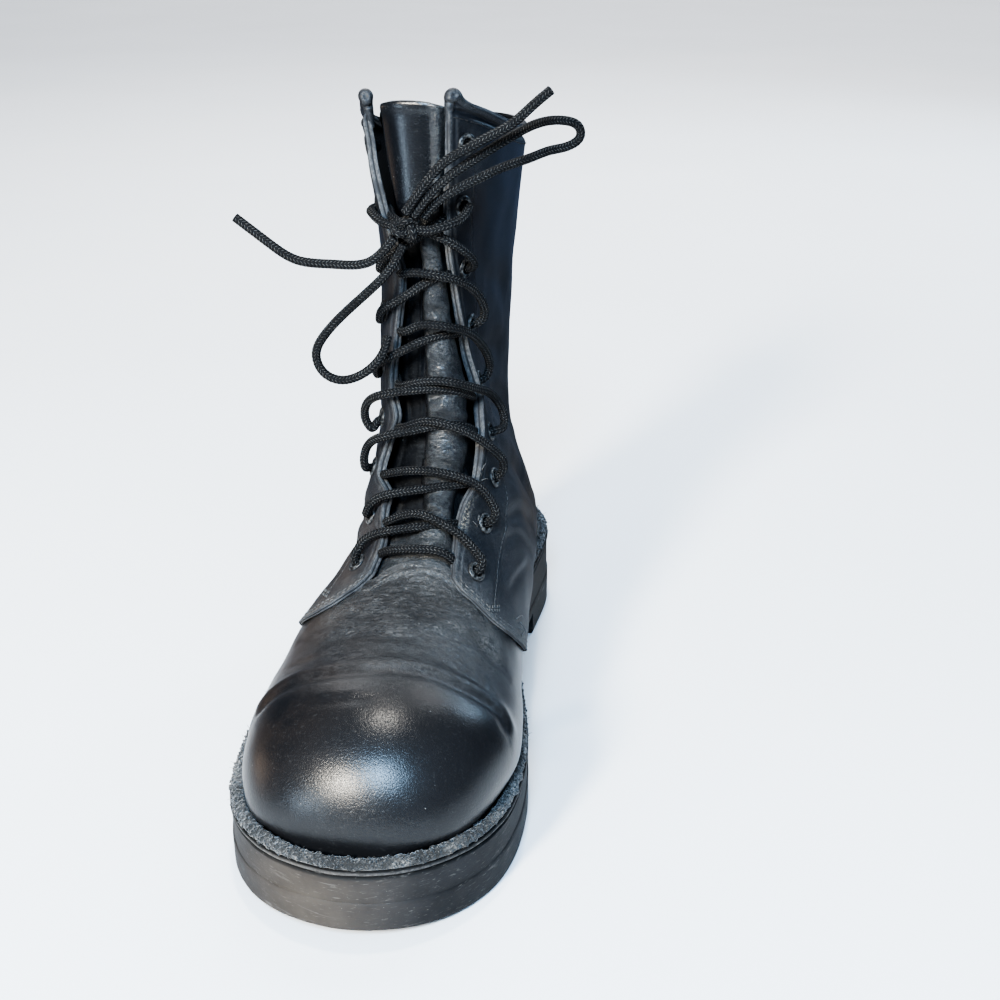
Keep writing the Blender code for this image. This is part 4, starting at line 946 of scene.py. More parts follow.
def quarter_lift(t, d, side):
    """Rise of the quarters' outer face and of their lining over the upper's own surface."""
    up = t - THROAT_T
    far = np.abs(d)
    behind = t - front_place(side_part(t, d, side), side)
    from_edge = far - edge_distance(t, side)
    point, _ = on_surface(t, d)
    lift = QUARTER_LIFT + 0.9 * dying(behind, 6.0) + 0.8 * slow_waves(point)
    for route, width, depth, lip in QUARTER_FOLDS[side]:
        lift += fold(up, far, route, width, depth, lip, 16.0)
    # the eyelet facing is a second layer with a sewn seam
    seam = table_at(FACING_SEAM, up, side)
    lift += 0.35 * smoothstep(seam + 0.8, seam - 0.4, far) - 0.35 * bump(far, seam - FACING_STITCH, 0.8)
    # raw edge: outward curl, and a pressed ridge beside it
    curl = table_at(EDGE_CURL, up, side) * dying(from_edge, CURL_REACH)
    lift += curl + 0.22 * bump(from_edge, 3.3, 0.7) - 0.15 * bump(from_edge, 2.1, 0.6)
    # front edge: two rows of stitches pull it down
    lift -= 0.25 * bump(behind, FRONT_SEAMS[0], 0.8) + 0.22 * bump(behind, FRONT_SEAMS[1], 0.8)
    # heel counter inside the leather, and the strip sewn up the back
    s, z = point[..., 1], point[..., 2]
    counter_top = 96.0 - 62.0 * np.clip((300.0 - s) / 88.0, 0, None) ** 2
    lift += 0.55 * smoothstep(3.5, -3.5, z - counter_top) * smoothstep(205, 222, s)
    to_back = foot_distance(t, side) - far
    lift += 0.4 * smoothstep(12.5, 11.5, to_back) * smoothstep(HEEL_T - 4.0, HEEL_T + 4.0, t)
    # dimples round the eyelets, and a pit through each
    for pair in range(len(EYELETS)):
        middle_up, middle_d = eyelet_at(pair, side)
        radius = np.hypot(up - middle_up, d - middle_d)
        pit = smoothstep(3.7, 2.9, radius)
        lift = (lift - 0.35 * bump(radius, 6.2, 2.6)) * (1 - pit) + (QUARTER_LIFT - 2.6) * pit
    # the wall thins out under the collar's binding, below a groove
    down = COLLAR_T - t
    groove = 1.5 * bump(down, BINDING_DROP, 1.4) * smoothstep(0.5, 4.0, from_edge)
    lift = lift * (1 - 0.7 * smoothstep(9, 4, down)) - groove
    lining = QUARTER_LINING + (lift - QUARTER_LIFT) * 0.85
    lining -= (0.6 - 0.35 * smoothstep(190, 225, up)) * curl + EDGE_EXTRA * dying(from_edge, 4.0)
    over_vamp = lining + (-0.42 - lining) * smoothstep(13, 9, behind) * smoothstep(3.0, 8.0, from_edge)
    return lift, np.minimum(np.where(behind < 13, over_vamp, lining), lift - 1.2)


def quarter_grid(side):
    """Places t and d of one side's wall, and the row that reaches the back of the heel."""
    lower, middle, top = 84, 100, 16
    part = np.linspace(0, 1, 100) ** 1.4
    start = front_place(part, side)
    low = start + (HEEL_T - start) * np.linspace(0, 1, lower)[:-1, None]
    band = COLLAR_T - 9.5
    high = np.concatenate([np.linspace(HEEL_T, band, middle)[:-1], np.linspace(band, COLLAR_T, top)])
    t = np.concatenate([low, np.repeat(high[:, None], len(part), 1)])
    return t, skin_place(part, t, side), part, lower - 1


def build_quarters(finishes):
    """Both quarters, the shaft and the bound collar as one wall, open down the front."""
    shapes, all_slots, all_fields = [], [], []
    for side in (1, -1):
        t, d, part, heel = quarter_grid(side)
        lift, lining = quarter_lift(t, d, side)
        # both halves agree at the back seam
        if side > 0:
            seam = [rise[heel:, -1:].copy() for rise in (lift, lining)]
        for rise, agreed in zip((lift, lining), seam):
            rise[heel:] += (agreed - rise[heel:, -1:]) * smoothstep(0.90, 1.0, part)
        outer, normal = on_surface(t, d, lift)
        from_edge = np.abs(d) - edge_distance(t, side)
        ahead = EDGE_STEP * dying(from_edge, 3.0) * (from_edge < 12) * smoothstep(6.0, 12.0, COLLAR_T - t)
        inner, _ = on_surface(t, d - side * ahead, lining)
        for grid, rise in ((outer, lift), (inner, lining)):
            back = grid[heel:, -1]
            back[:, 0] = 0.0
            back[:, 1] += np.where(np.abs(normal[heel:, -1, 1]) < 0.5, rise[heel:, -1], 0.0)
            grid[:heel, -1, 2] = rim_z(grid[:heel, -1, 1]) + GAP
        rows, columns = t.shape
        visible = [(0, j) for j in range(columns - 1, -1, -1)] + [(i, 0) for i in range(1, rows)]
        collar = [(rows - 1, j) for j in range(columns)]
        foot = [(i, columns - 1) for i in range(heel + 1)]
        shape, slots, edge = shell(outer, inner, visible, [foot, collar])
        shapes.append(shape)
        all_slots += slots
        up, z = t - THROAT_T, outer[..., 2]
        behind = t - front_place(side_part(t, d, side), side)
        raw = 0.40 * smoothstep(1.6, 0.0, from_edge) + 0.14 * bump(from_edge, 3.3, 0.8)
        front = 0.55 * smoothstep(1.4, 0.0, behind) + 0.22 * smoothstep(16, 0, behind)
        crack = (0.30 if side > 0 else 0.40) * bump(up, 60, 80) + 0.45 * smoothstep(30, 4, behind)
        warm = 0.8 * smoothstep(120, 60, z)
        if side > 0:
            crack += 0.5 * bump(up, 258, 15) * bump(from_edge, 15, 9)
            warm = 0.9 * smoothstep(110, 72, z) * smoothstep(60, 90, np.abs(d))
            warm += 0.5 * bump(up, 225, 22) * bump(from_edge, 20, 8)
        tan = bump(up, 58, 11) * smoothstep(5.0, 1.0, from_edge) * (side > 0)
        wear = np.clip(np.maximum(raw, front), 0, 1)
        all_fields.append(wall_fields(edge, 0.3, wear=wear, crack=crack, warm=warm, tan=tan))
    fields = {key: np.concatenate([some[key] for some in all_fields]) for key in all_fields[0]}
    return add_piece("quarters", joined(shapes), finishes, replaces=("upper",),
                     face_slots=all_slots, attributes=fields)


def binding_line(side):
    """Middle of the collar's binding on one side, from the flap's edge to the back, with radii."""
    start = np.array(BINDING_START)
    fine = spline(np.linspace(0.0, 1.0, len(start)), start, np.linspace(0.0, 1.0, 90))
    reach, level, lift, radius = start[-1]
    back = float(foot_distance(COLLAR_T, side)) - float(edge_distance(COLLAR_T, side))
    rest = np.linspace(reach, back, 140)[1:]
    level = level + (-BINDING_DROP_BACK - level) * smoothstep(reach, reach + 12.0, rest)
    tail = np.stack([rest, level, 0 * rest + lift, 0 * rest + radius], axis=1)
    from_edge, over, lift, radius = np.concatenate([fine, tail]).T
    over = over + BINDING_KNOB_RISE[0 if side > 0 else 1] * smoothstep(-6.0, 0.0, over)
    t = COLLAR_T + over
    line, _ = on_surface(np.minimum(t, COLLAR_T), side * (edge_distance(t, side) + from_edge), lift)
    line[:, 2] += np.clip(over, 0, None)
    line[-1, 0] = 0.0
    return line, radius + 0.08 * np.sin(from_edge / 2.9) + 0.05 * np.sin(from_edge / 1.3 + 1.0)


def build_binding(finish):
    """Rolled leather that binds the collar and ends in a knob on each flap."""
    inner, inner_radius = binding_line(1)
    outer, outer_radius = binding_line(-1)
    line = np.concatenate([inner, outer[-2::-1]])
    travelled = along(line)
    even = np.linspace(0.0, travelled[-1], int(travelled[-1] / BINDING_STEP))
    radius = np.interp(even, travelled, np.concatenate([inner_radius, outer_radius[-2::-1]]))
    line = resample(line, len(even))
    angle = 2 * math.pi * np.arange(BINDING_SIDES) / BINDING_SIDES
    from_end = np.minimum(even, even[-1] - even)
    # the strip is folded over: a crease along it, and a dimple where the knob is tucked in
    crease = bump(angle, 3.9, 0.22)[None, :] * smoothstep(14.0, 20.0, from_end)[:, None]
    (points, faces), u, v = tube(line, radius[:, None] * (1 - 0.24 * crease), BINDING_SIDES)
    for knob in (KNOB_DIMPLE, even[-1] - KNOB_DIMPLE):
        end = np.argmin(np.abs(even - knob))
        away = np.linalg.norm(points - line[end] - 0.9 * radius[end] * DIMPLE_TOWARDS, axis=1)
        points = points - (1.5 * bump(away, 0, 1.15))[:, None] * DIMPLE_TOWARDS
    # a slit under each knob
    spokes = points.reshape(len(even), BINDING_SIDES, 3) - line[:, None]
    spokes /= np.linalg.norm(spokes, axis=2)[..., None]
    slit = 0.9 * bump(from_end, 8.8, 0.55)[:, None] * np.clip(spokes @ DIMPLE_TOWARDS, 0, 1) ** 0.5
    points = points - (slit[..., None] * spokes).reshape(-1, 3)
    fields = {"wear": 0.02 + 0.14 * bump(v, 1.6, 0.6), "crack": 0.35 + 0 * u, "warm": 0 * u}
    return add_piece("collar_binding", (points, faces), [finish], attributes=fields)


# Crumples of the tongue: up, place across, height and half width, rise.
TONGUE_CRUMPLES = (
    (34, -0.10, 2.2, 0.60, 0.9), (40, 0.25, 2.4, 0.50, 0.9), (47.5, 0.02, 3.6, 0.34, 2),
    (55, 0.40, 3, 0.30, 1), (63, 0.05, 4.5, 0.26, 1.4), (76, 0.10, 3, 0.35, 1), (83, 0.45, 3.2, 0.25, -1.2),
    (96, 0.30, 5, 0.40, 0.9), (106, 0.62, 3, 0.20, -1.3), (114, 0.50, 3.5, 0.25, 1.2),
    (122, 0.10, 3, 0.20, -1.1),
)


def tongue_lift(t, across):
    """Rise of the tongue's face; across runs from -1 to 1 between the flaps' edges."""
    up = t - THROAT_T
    lift = table_at(TONGUE_PROFILE, across, 1)
    # the middle stands up as a soft roll beside a deep fold, and runs out near the collar
    open_part = smoothstep(38.0, 62.0, up) * smoothstep(226.0, 200.0, up)
    centre = 0.36 + 0.04 * np.sin(up / 19.0) + 0.03 * np.sin(up / 7.0)
    half = 0.53 + 0.03 * np.sin(up / 23.0 + 1.0)
    roll = -7.5 + 8.0 * np.clip(1 - ((across - centre) / half) ** 2, 0, 1) ** 0.40
    sunk = lift - 1.6 - 5.8 * smoothstep(0.0, -0.2, across) * smoothstep(-1.0, -0.75, across)
    lift += (np.maximum(roll, sunk) - lift) * open_part
    # a fold that stands in the gusset
    lift += 1.2 * bump(across, -0.33 + 0.05 * np.sin(up / 21.0), 0.07) * open_part * bump(up, 165, 45)
    lift -= bump(across, -0.62 + 0.05 * np.sin(up / 34.0), 0.13) * (1 - open_part)
    # the top is a plain dome
    high = smoothstep(200.0, 228.0, up)
    face = (-2.2 + 0.8 * bump(across, 0.68, 0.14) - 4.5 * smoothstep(-0.60, -1.0, across)
            - 1.2 * smoothstep(0.78, 1.0, across))
    lift += high * (face - lift)
    # creases across it, where the lace presses
    for place, _, _ in EYELETS[1:]:
        pressed = 0.7 * bump(up, place - 4.0 + 5.0 * across, 3.0) * smoothstep(-0.6, 0.0, across)
        raised = 0.5 * bump(up, place + 5.0 - 5.0 * across, 3.0) * smoothstep(-0.4, 0.3, across)
        lift += (raised - pressed) * (1 - high)
    # crumpled low down, with ridges across it at the throat
    for place, middle, tall, wide, rise in TONGUE_CRUMPLES:
        lift += rise * bump(up - 9.0 * (across - middle), place, tall) * bump(across, middle, wide)
    ripple = smoothstep(112.0, 84.0, up) * np.sin(up / 2.5 + 1.6 * np.sin(across * 3.0))
    lift += 0.35 * ripple * bump(across, 0.0, 0.6)
    fine = np.sin(up / 1.7 + 2.4 * np.sin(across * 4.0) + 1.5 * np.sin(up / 9.0))
    lift += 0.10 * fine * bump(across, 0.35, 0.4) * (1 - 0.8 * high)
    lift += 2.4 * bump(across, -0.72, 0.35) * smoothstep(58.0, 40.0, up)
    # a thickened lip at the top, and a flat part where the vamp covers it
    lift += 0.35 * bump(t, COLLAR_T - TONGUE_BELOW_COLLAR - 2.2, 2.4)
    return TONGUE_UNDER_VAMP + (lift - TONGUE_UNDER_VAMP) * smoothstep(27.0, 41.0, up)


def build_tongue(finishes):
    rows, columns = 230, 104
    across = np.linspace(-1.9, 1.9, columns)
    top = COLLAR_T - TONGUE_BELOW_COLLAR - 1.2 * (across + 0.1) ** 2
    t = THROAT_T + 4.0 + (top - THROAT_T - 4.0) * np.linspace(0, 1, rows)[:, None]
    across = np.broadcast_to(across, t.shape)
    reach = np.where(across > 0, edge_distance(t, 1), edge_distance(t, -1))
    past = np.sign(across) * np.clip(np.abs(across) - 1, 0, None) / 0.9 * TONGUE_UNDER_FLAP
    d = np.clip(across, -1, 1) * reach + past
    lift = tongue_lift(t, across)
    outer, _ = on_surface(t, d, lift)
    inner, _ = on_surface(t, d, lift - TONGUE_THICK)
    sides = [[(i, j) for i in range(rows)] for j in (0, columns - 1)]
    bottom, lip = [[(i, j) for j in range(columns)] for i in (0, rows - 1)]
    shape, slots, edge = shell(outer, inner, lip, sides + [bottom])
    up = t - THROAT_T
    smooth_top = smoothstep(196, 222, up)
    wear = 0.04 * smoothstep(COLLAR_T - 12, COLLAR_T - 5, t) + 0.05 * smoothstep(68.0, 46.0, up)
    crack = (0.12 + 0.46 * smoothstep(-0.25, 0.1, across)) * (1 - smooth_top)
    crack += 0.55 * smooth_top * smoothstep(0.35, 0.75, across)
    crack = np.maximum(crack, 0.9 * smoothstep(68.0, 46.0, up))
    # the gusset is thinner, duller leather with an uneven border, painted darker as shade deep in the fold
    border = across + 0.03 * np.sin(t / 2.3) + 1.6 * smoothstep(62.0, 46.0, up)
    dull = (smoothstep(-0.08, -0.20, border) * (1 - smooth_top))[:-1, :-1].ravel() > 0.5
    slots = np.where(dull, 3, slots[:len(dull)]).tolist() + slots[len(dull):]
    return add_piece("tongue_soft", shape, finishes, replaces=("tongue",), face_slots=slots,
                     attributes=wall_fields(edge, 1.0, wear=wear, crack=crack, warm=0.0 * t))


# ---- stitches and eyelets --------------------------------------------------------------


def skin_points(up, d, side, rise):
    """Points on the quarters' outer face."""
    t = THROAT_T + up
    return on_surface(t, d, quarter_lift(t, d, side)[0] + rise)[0]


def vamp_points(up, d, rise):
    """Points on the vamp's outer face."""
    t = THROAT_T + up
    return on_surface(t, d, vamp_lift(t, d) + rise)[0]


def stitch_row(line, pitch, length, radius):
    """Short raised stitches along a line of points."""
    travelled = along(line)
    starts = np.arange(pitch / 2, travelled[-1] - pitch / 2, pitch)
    rows = [start + length * np.array([-0.5, -0.28, 0.0, 0.28, 0.5]) for start in starts]
    middles = [np.stack([np.interp(at, travelled, column) for column in line.T], axis=1) for at in rows]
    return [(middle, radius * np.array([0.35, 0.85, 1.0, 0.85, 0.35])) for middle in middles]


# Rolled rim and barrel of an eyelet: radius, height.
EYELET_PROFILE = ((2.30, -3.1), (2.28, -0.4), (2.36, 0.25), (2.60, 0.72), (3.05, 0.98), (3.55, 0.98),
                  (4.05, 0.74), (4.45, 0.30), (4.55, -0.05), (4.30, -0.35), (3.20, -0.55), (2.75, -3.1))
EYELET_SIDES = 28
# Loose threads on the inner side: up, d, heading in degrees, length.
LOOSE_THREADS = (
    (90, 22.8, 60, 5), (87, 22.5, 130, 4.2), (84, 22.6, 20, 3.6), (59, 22.6, 100, 3.4), (55, 22.4, 150, 4),
    (8, 52, 30, 7), (4, 55, -20, 6), (1, 58, 70, 5), (9, 57, -60, 6.5),
)


def build_stitches(finish):
    stitches = []
    for side in (1, -1):
        up = np.linspace(3.0, 272.0, 400)
        seam = side * (table_at(FACING_SEAM, up, side) - FACING_STITCH)
        stitches += stitch_row(skin_points(up, seam, side, 0.06), 2.6, 2.35, 0.20)
        part = np.linspace(0.03, 0.93, 200)
        for behind in FRONT_SEAMS:
            t = front_place(part, side) + behind
            line = skin_points(t - THROAT_T, skin_place(part, t, side), side, 0.12)
            stitches += stitch_row(line, 2.9, 2.1, 0.32)
        # bar tacks where the facing ends
        for k in range(5):
            up = np.linspace(-1.5, 6.5, 20) + 1.3 * k
            d = np.full(20, side * (float(table_at(FACING_SEAM, 0.0, side)) - 4.0 + 1.6 * k))
            stitches += stitch_row(skin_points(up, d, side, 0.15), 2.3, 1.9, 0.36)
        # up the back
        t = np.linspace(HEEL_T + 3.0, COLLAR_T - 10.0, 300)
        line = skin_points(t - THROAT_T, side * (foot_distance(t, side) - 9.8), side, 0.10)
        stitches += stitch_row(line, 2.9, 2.1, 0.30)
        # under the collar's roll
        t = COLLAR_T - 8.6
        d = side * np.linspace(float(edge_distance(t, side)) + 1.0, float(foot_distance(t, side)) - 1.0, 200)
        line = skin_points(np.full(200, t) - THROAT_T, d, side, 0.12)
        stitches += stitch_row(line, 2.9, 2.1, 0.28)
    # along the vamp's top edge
    d = np.linspace(-20.0, 12.5, 120)
    stitches += stitch_row(vamp_points(table_at(VAMP_EDGE, d, 1) - VAMP_SEAM, d, 0.05), 2.4, 1.5, 0.33)
    # bits of loose thread on the inner flap's edge and at the bar tack
    u = np.linspace(0, 1, 9)
    for up, d, heading, long in LOOSE_THREADS:
        way = math.radians(heading)
        curl = 0.22 * long * np.sin(2.6 * u)
        line = skin_points(up + long * u * math.sin(way) + curl * math.cos(way),
                           d + long * u * math.cos(way) - curl * math.sin(way), 1, 0.3 + 1.4 * np.sin(2.2 * u))
        stitches.append((line, 0.30 * np.linspace(1.0, 0.5, 9)))
    shape = joined(tube(line, radii, 6)[0] for line, radii in stitches)
    return add_piece("stitching", shape, [finish])


def build_eyelets(finish):
    """Rolled rims with barrels, one mesh for all eighteen."""
    angle = 2 * math.pi * np.arange(EYELET_SIDES) / EYELET_SIDES
    shapes, wear, names = [], [], []
    for pair in range(len(EYELETS)):
        for side in (1, -1):
            up, d = eyelet_at(pair, side)
            near = quarter_lift(THROAT_T + up + 5.0 * np.cos(angle), d + 5.0 * np.sin(angle), side)[0]
            centre, normal = on_surface(THROAT_T + up, d, float(near.mean()))
            across = np.cross(normal, (0.0, 0.0, 1.0))
            across /= np.linalg.norm(across)
            spokes = np.cos(angle)[:, None] * across + np.sin(angle)[:, None] * np.cross(normal, across)
            spokes *= 1 + 0.012 * np.sin(2 * angle + pair)[:, None]
            # the topmost on the outer side lie flatter
            flat = 0.4 if side < 0 and pair >= 7 else 1.0
            points = []
            for radius, height in EYELET_PROFILE:
                height = height * flat if height > 0 else height
                points.append(centre + radius * spokes + height * normal)
                wear.append(np.full(EYELET_SIDES, 1.0 if 2.5 < radius < 4.2 and height > 0.5 else 0.25))
            shapes.append((np.concatenate(points), ring_faces(len(points), EYELET_SIDES, closed=True)))
            names.append(f"eyelet_{'inner' if side > 0 else 'outer'}_{pair + 1}")
    return add_piece("eyelet_rims", joined(shapes), [finish], replaces=names,
                     attributes={"wear": np.concatenate(wear)})


# ---- lace ------------------------------------------------------------------------------

LACE_SIDES = 32
LACE_STEP = 0.36
LACE_PHASE = 17.0        # shift of the braid from one strand to the next
IN_EYELET = -2.2         # a strand starts this deep in its eyelet
UNDER_FLAP = -3.2

# Each strand from its eyelet over its flap's edge to the other flap: (up, d, lift).
# The lace is slack, so it stands off the leather in curls.
INNER_STRANDS = (
    ((25, 23.4, 3.4), (28, 22.8, 5.4), (32, 20.8, 5.6), (43.8, 12.8, 4.8), (50.4, 5.3, 4.4),
     (55.6, -2.3, 3.4), (54, -12, 1.6), (52, -18.4, 0.4), (54.5, -24, UNDER_FLAP)),
    ((60.5, 27.8, 4), (64, 27.6, 6), (68, 26.2, 6.2), (75, 21.8, 6), (80.8, 14.9, 5.6),
     (84, 4.6, 4.2), (84, -10, 2), (83.2, -22.4, 0.4), (86, -28.5, UNDER_FLAP)),
    ((91.5, 35.6, 4), (95.5, 33.5, 6.6), (100.5, 27, 6.6), (105.5, 17, 5.4), (110, 6.5, 4.4),
     (110.4, -1.6, 3.2), (107.6, -9.5, 1), (107.5, -15.5, -0.8), (111, -22.5, UNDER_FLAP)),
    ((115.4, 40.2, 4), (118, 43.6, 6), (123.5, 45, 7), (129, 40.5, 6.8), (131.2, 31, 5.6),
     (129.8, 20, 5), (130.4, 8, 4.4), (129, -4, 2.2), (127, -12, 0.2), (130.5, -18.5, UNDER_FLAP)),
    ((142.8, 40.5, 3.8), (147, 41, 5.8), (153, 37.5, 6.8), (158.2, 27.5, 6), (160, 16, 5.2),
     (159.8, 5.4, 4.4), (158.4, -2.4, 2.6), (154.6, -9, 0.6), (158, -14.5, -1.8), (164, -19, UNDER_FLAP)),
    ((170.4, 31, 3.8), (174.2, 31.8, 5.8), (179.6, 29.8, 6.6), (185.2, 22, 5.8), (187.4, 12.9, 5.2),
     (188.8, 3, 4.4), (188.2, -4.5, 2.6), (187.4, -9, 0.6), (190.5, -14, UNDER_FLAP)),
    ((197.8, 21.6, 4.4), (200.5, 19.6, 6.6), (204.6, 15.2, 6.6), (208.5, 9.6, 5.6), (212.5, 2.5, 4.4),
     (215.5, -6, 2.2), (219.5, -12.6, -0.4), (224, -20, UNDER_FLAP)),
)
OUTER_STRANDS = (
    ((25.5, -31.8, 3.2), (29, -29, 4.8), (34, -26.4, 5.4), (39.2, -22, 5), (43.2, -13.7, 3.6),
     (47, -5, 1.2), (50.2, 3, 0.2), (53, 9.6, -0.2), (55, 14.2, -1.8), (57, 20, UNDER_FLAP)),
    ((58.8, -30.4, 3), (58.6, -27.6, 4.6), (61.4, -24.4, 5.8), (65.8, -19.8, 5.8), (69.8, -11, 4.2),
     (73.4, -2, 1.4), (77.2, 8, 0.4), (80.6, 16, 0), (83.6, 21.5, -2), (87, 29, UNDER_FLAP)),
    ((88.6, -34, 3.2), (87.8, -31.6, 5.2), (90.4, -29.6, 6.8), (95.4, -27.4, 7.8), (100.4, -22.6, 7.8),
     (103.6, -14, 6), (106.4, -4, 2), (109.2, 6, 0.4), (110.6, 17, 0), (111.4, 24.5, -1.6),
     (113, 32, UNDER_FLAP)),
    ((112, -28.4, 3.4), (109, -28, 5.2), (111, -28, 7.2), (116, -27.4, 8.9), (121.2, -23.6, 8.9),
     (123.8, -16.6, 6.8), (125, -7, 3.2), (126, 4, 0.6), (127, 15, 0), (129, 27, -0.4),
     (132.5, 33.5, UNDER_FLAP)),
    ((138.6, -25, 2.8), (135.6, -24.6, 3.4), (136.8, -22.8, 4.6), (140.4, -17.4, 5.6), (144.8, -9, 4),
     (151, 1, 1.2), (156, 11, 0.2), (160, 19.6, -0.6), (163.6, 25.4, UNDER_FLAP)),
    ((166, -21, 2.8), (163.6, -20, 3.4), (165.8, -17.4, 4.6), (171, -11.4, 4.8), (177.6, -4, 2.8),
     (184, 3.6, 0.8), (187.8, 10, 0), (190.4, 14.8, -1.8), (193.2, 18.6, UNDER_FLAP)),
    ((194.2, -20.6, 2.8), (192.6, -19, 3.4), (195.6, -15, 4.6), (201, -8.4, 4), (207, -1.4, 1.8),
     (213, 4.6, 0.6), (218.6, 10, -0.4), (222.4, 13.8, -2.2), (226, 17.4, UNDER_FLAP)),
)
# The bar over the throat between the first eyelets, from under the outer flap to the inner one.
LACE_BAR = ((24.4, -32, UNDER_FLAP), (27, -26.5, -3), (29.4, -20.5, -0.6), (30.4, -11, 1.6), (31, 0, 2),
            (30.4, 8, 1.6), (28.6, 12.6, -0.6), (26, 18, -3), (24.4, 23, UNDER_FLAP))
# From the eighth eyelets to the knot: places on the skin, then points (x, s, z).
TIE_INNER = ((229.8, 20.0, 3.6), (229.6, 18.6, 5.6), (226.4, 16.6, 6.8))
TIE_INNER_END = ((11.5, 159.6, 219.0), (6.0, 158.6, 217.6), (1.0, 157.4, 218.0))
TIE_OUTER = ((228.4, -26.6, 3.0), (226.0, -23.6, 4.0), (225.4, -19.0, 5.6))
TIE_OUTER_END = ((-12.5, 160.2, 219.6), (-8.0, 158.8, 218.8), (-4.0, 157.2, 218.4))
KNOT_CENTRE = (-2.5, 157.0, 218.5)
KNOT_SCALE = (1.60, 1.10, 1.45)
KNOT_TILT = math.radians(24.0)


def smooth_line(route):
    """Evenly spaced points on a smooth curve through a lace's route."""
    route = np.asarray(route, float)
    length = along(route)
    fine = spline(length, route, np.linspace(0.0, length[-1], 60 * len(route)))
    return resample(fine, max(8, int(round(along(fine)[-1] / LACE_STEP))))


def braided(line, phase):
    """Shape and braid fields of a round braided lace along a line."""
    angle = 2 * math.pi * np.arange(LACE_SIDES) / LACE_SIDES
    run = 2 * math.pi * (along(line) + phase) / BRAID_PITCH
    column = np.sin(BRAID_COLUMNS / 2 * angle)
    dash = np.cos(run[:, None] + np.sign(column) * BRAID_COLUMNS * angle)
    radii = LACE / 2 * (0.955 + 0.075 * np.abs(column) ** 0.6 * (0.6 + 0.4 * dash))
    shape, u, v = tube(line, radii, LACE_SIDES)
    return shape, (u + phase, np.cos(v), np.sin(v))


def add_lace(name, lines, finish, replaces):
    """One mesh of several braided lines."""
    shapes, fields = zip(*[braided(line, LACE_PHASE * i) for i, line in enumerate(lines)])
    fields = dict(zip(("braid_u", "braid_c", "braid_s"), map(np.concatenate, zip(*fields))))
    return add_piece(name, joined(shapes), [finish], replaces=replaces, attributes=fields)


def add_cord(name, node, route, finish):
    """A free stretch of the bow, as a braided lace along its route."""
    line = smooth_line(route)
    piece = add_lace(name, [line], finish, (node,))


def build_bow(finish):
    add_cord("bow_end_left", "lace_end_left", END_LEFT, finish)
    add_cord("bow_loop_left", "lace_loop_left", LOOP_LEFT, finish)
    add_cord("bow_loop_right", "lace_loop_right", LOOP_RIGHT, finish)
    add_cord("bow_end_right", "lace_end_right", END_RIGHT, finish)


def build_knot(finish):
    """The bow's knot: lace wound through itself."""
    t = np.linspace(0.0, 2 * math.pi, 90)
    a, b, c = KNOT_SCALE
    x = a * (np.sin(t) + 2 * np.sin(2 * t))
    z = c * (np.cos(t) - 2 * np.cos(2 * t))
    cosine, sine = math.cos(KNOT_TILT), math.sin(KNOT_TILT)
    turned = np.stack([x * cosine - z * sine, b * 1.6 * np.sin(3 * t), x * sine + z * cosine], axis=1)
    line = np.array(KNOT_CENTRE) + turned
    line = resample(line, int(along(line)[-1] / LACE_STEP))
    return add_lace("bow_knot", [line], finish, ("lace_knot",))


def skin_route(stations):
    """Points of a route given as (up, d, lift) on the skin."""
    up, d, lift = np.array(stations).T
    return on_surface(THROAT_T + up, d, lift)[0]


def strand_line(pair, side):
    """One strand from inside its eyelet to inside the next eyelet of the other flap."""
    stations = (INNER_STRANDS if side > 0 else OUTER_STRANDS)[pair]
    start = (*eyelet_at(pair, side), IN_EYELET)
    end = (*eyelet_at(pair + 1, -side), UNDER_FLAP)
    return smooth_line(skin_route((start,) + stations + (end,)))


def build_lacing(finish):
    lines = [smooth_line(skin_route(LACE_BAR))]
    lines += [strand_line(pair, side) for pair in range(len(INNER_STRANDS)) for side in (-1, 1)]
    for side, stations, end in ((1, TIE_INNER, TIE_INNER_END), (-1, TIE_OUTER, TIE_OUTER_END)):
        start = (*eyelet_at(len(INNER_STRANDS), side), IN_EYELET)
        lines.append(smooth_line(np.concatenate([skin_route((start,) + stations), np.array(end)])))
    names = ["lace_bar", "lace_tie_inner", "lace_tie_outer"] + [f"lace_crossing_{k}" for k in range(1, 8)]
    half = len(lines) // 2
    add_lace("lacing_lower", lines[:half], finish, names[:1] + names[3:6])
    add_lace("lacing_upper", lines[half:], finish, names[1:3] + names[6:])


# ---- sole, welt and insole -------------------------------------------------------------

SOLE_POINTS = 420
EDGE_BEVEL = 1.2
WELT_OUTER_INSET = 0.9
WELT_FOOT_INSET = 6.0
# Section of the felt strip: share of the way from its outer edge to its top, height.
WELT_PROFILE = ((0.0, GAP), (-0.12, 0.9), (-0.10, 1.6), (0.02, 2.4), (0.22, 3.0), (0.5, 3.35), (0.8, 3.5),
                (1.0, 3.3))
WELT_POINTS = 1500       # around the boot
CRUMBS = 3200
HAIRS = 900


def loop_faces(outline_points):
    """Faces across a loop that runs from the heel round to the toe and back."""
    half = outline_points // 2
    faces = [(0, 1, outline_points - 1)]
    faces += [(i, i + 1, outline_points - i - 1, outline_points - i) for i in range(1, half - 1)]
    faces.append((half - 1, half, half + 1))
    return faces


def prism(outline, low, high, along_x=False):
    """An outline raised from low to high, or laid across the sole in the s-z plane."""
    count = len(outline)
    points = [(level, a, b) if along_x else (a, b, level) for level in (low, high) for a, b in outline]
    faces = [(i, (i + 1) % count, count + (i + 1) % count, count + i) for i in range(count)]
    faces += [tuple(range(count)), tuple(range(count, 2 * count))]
    return points, faces


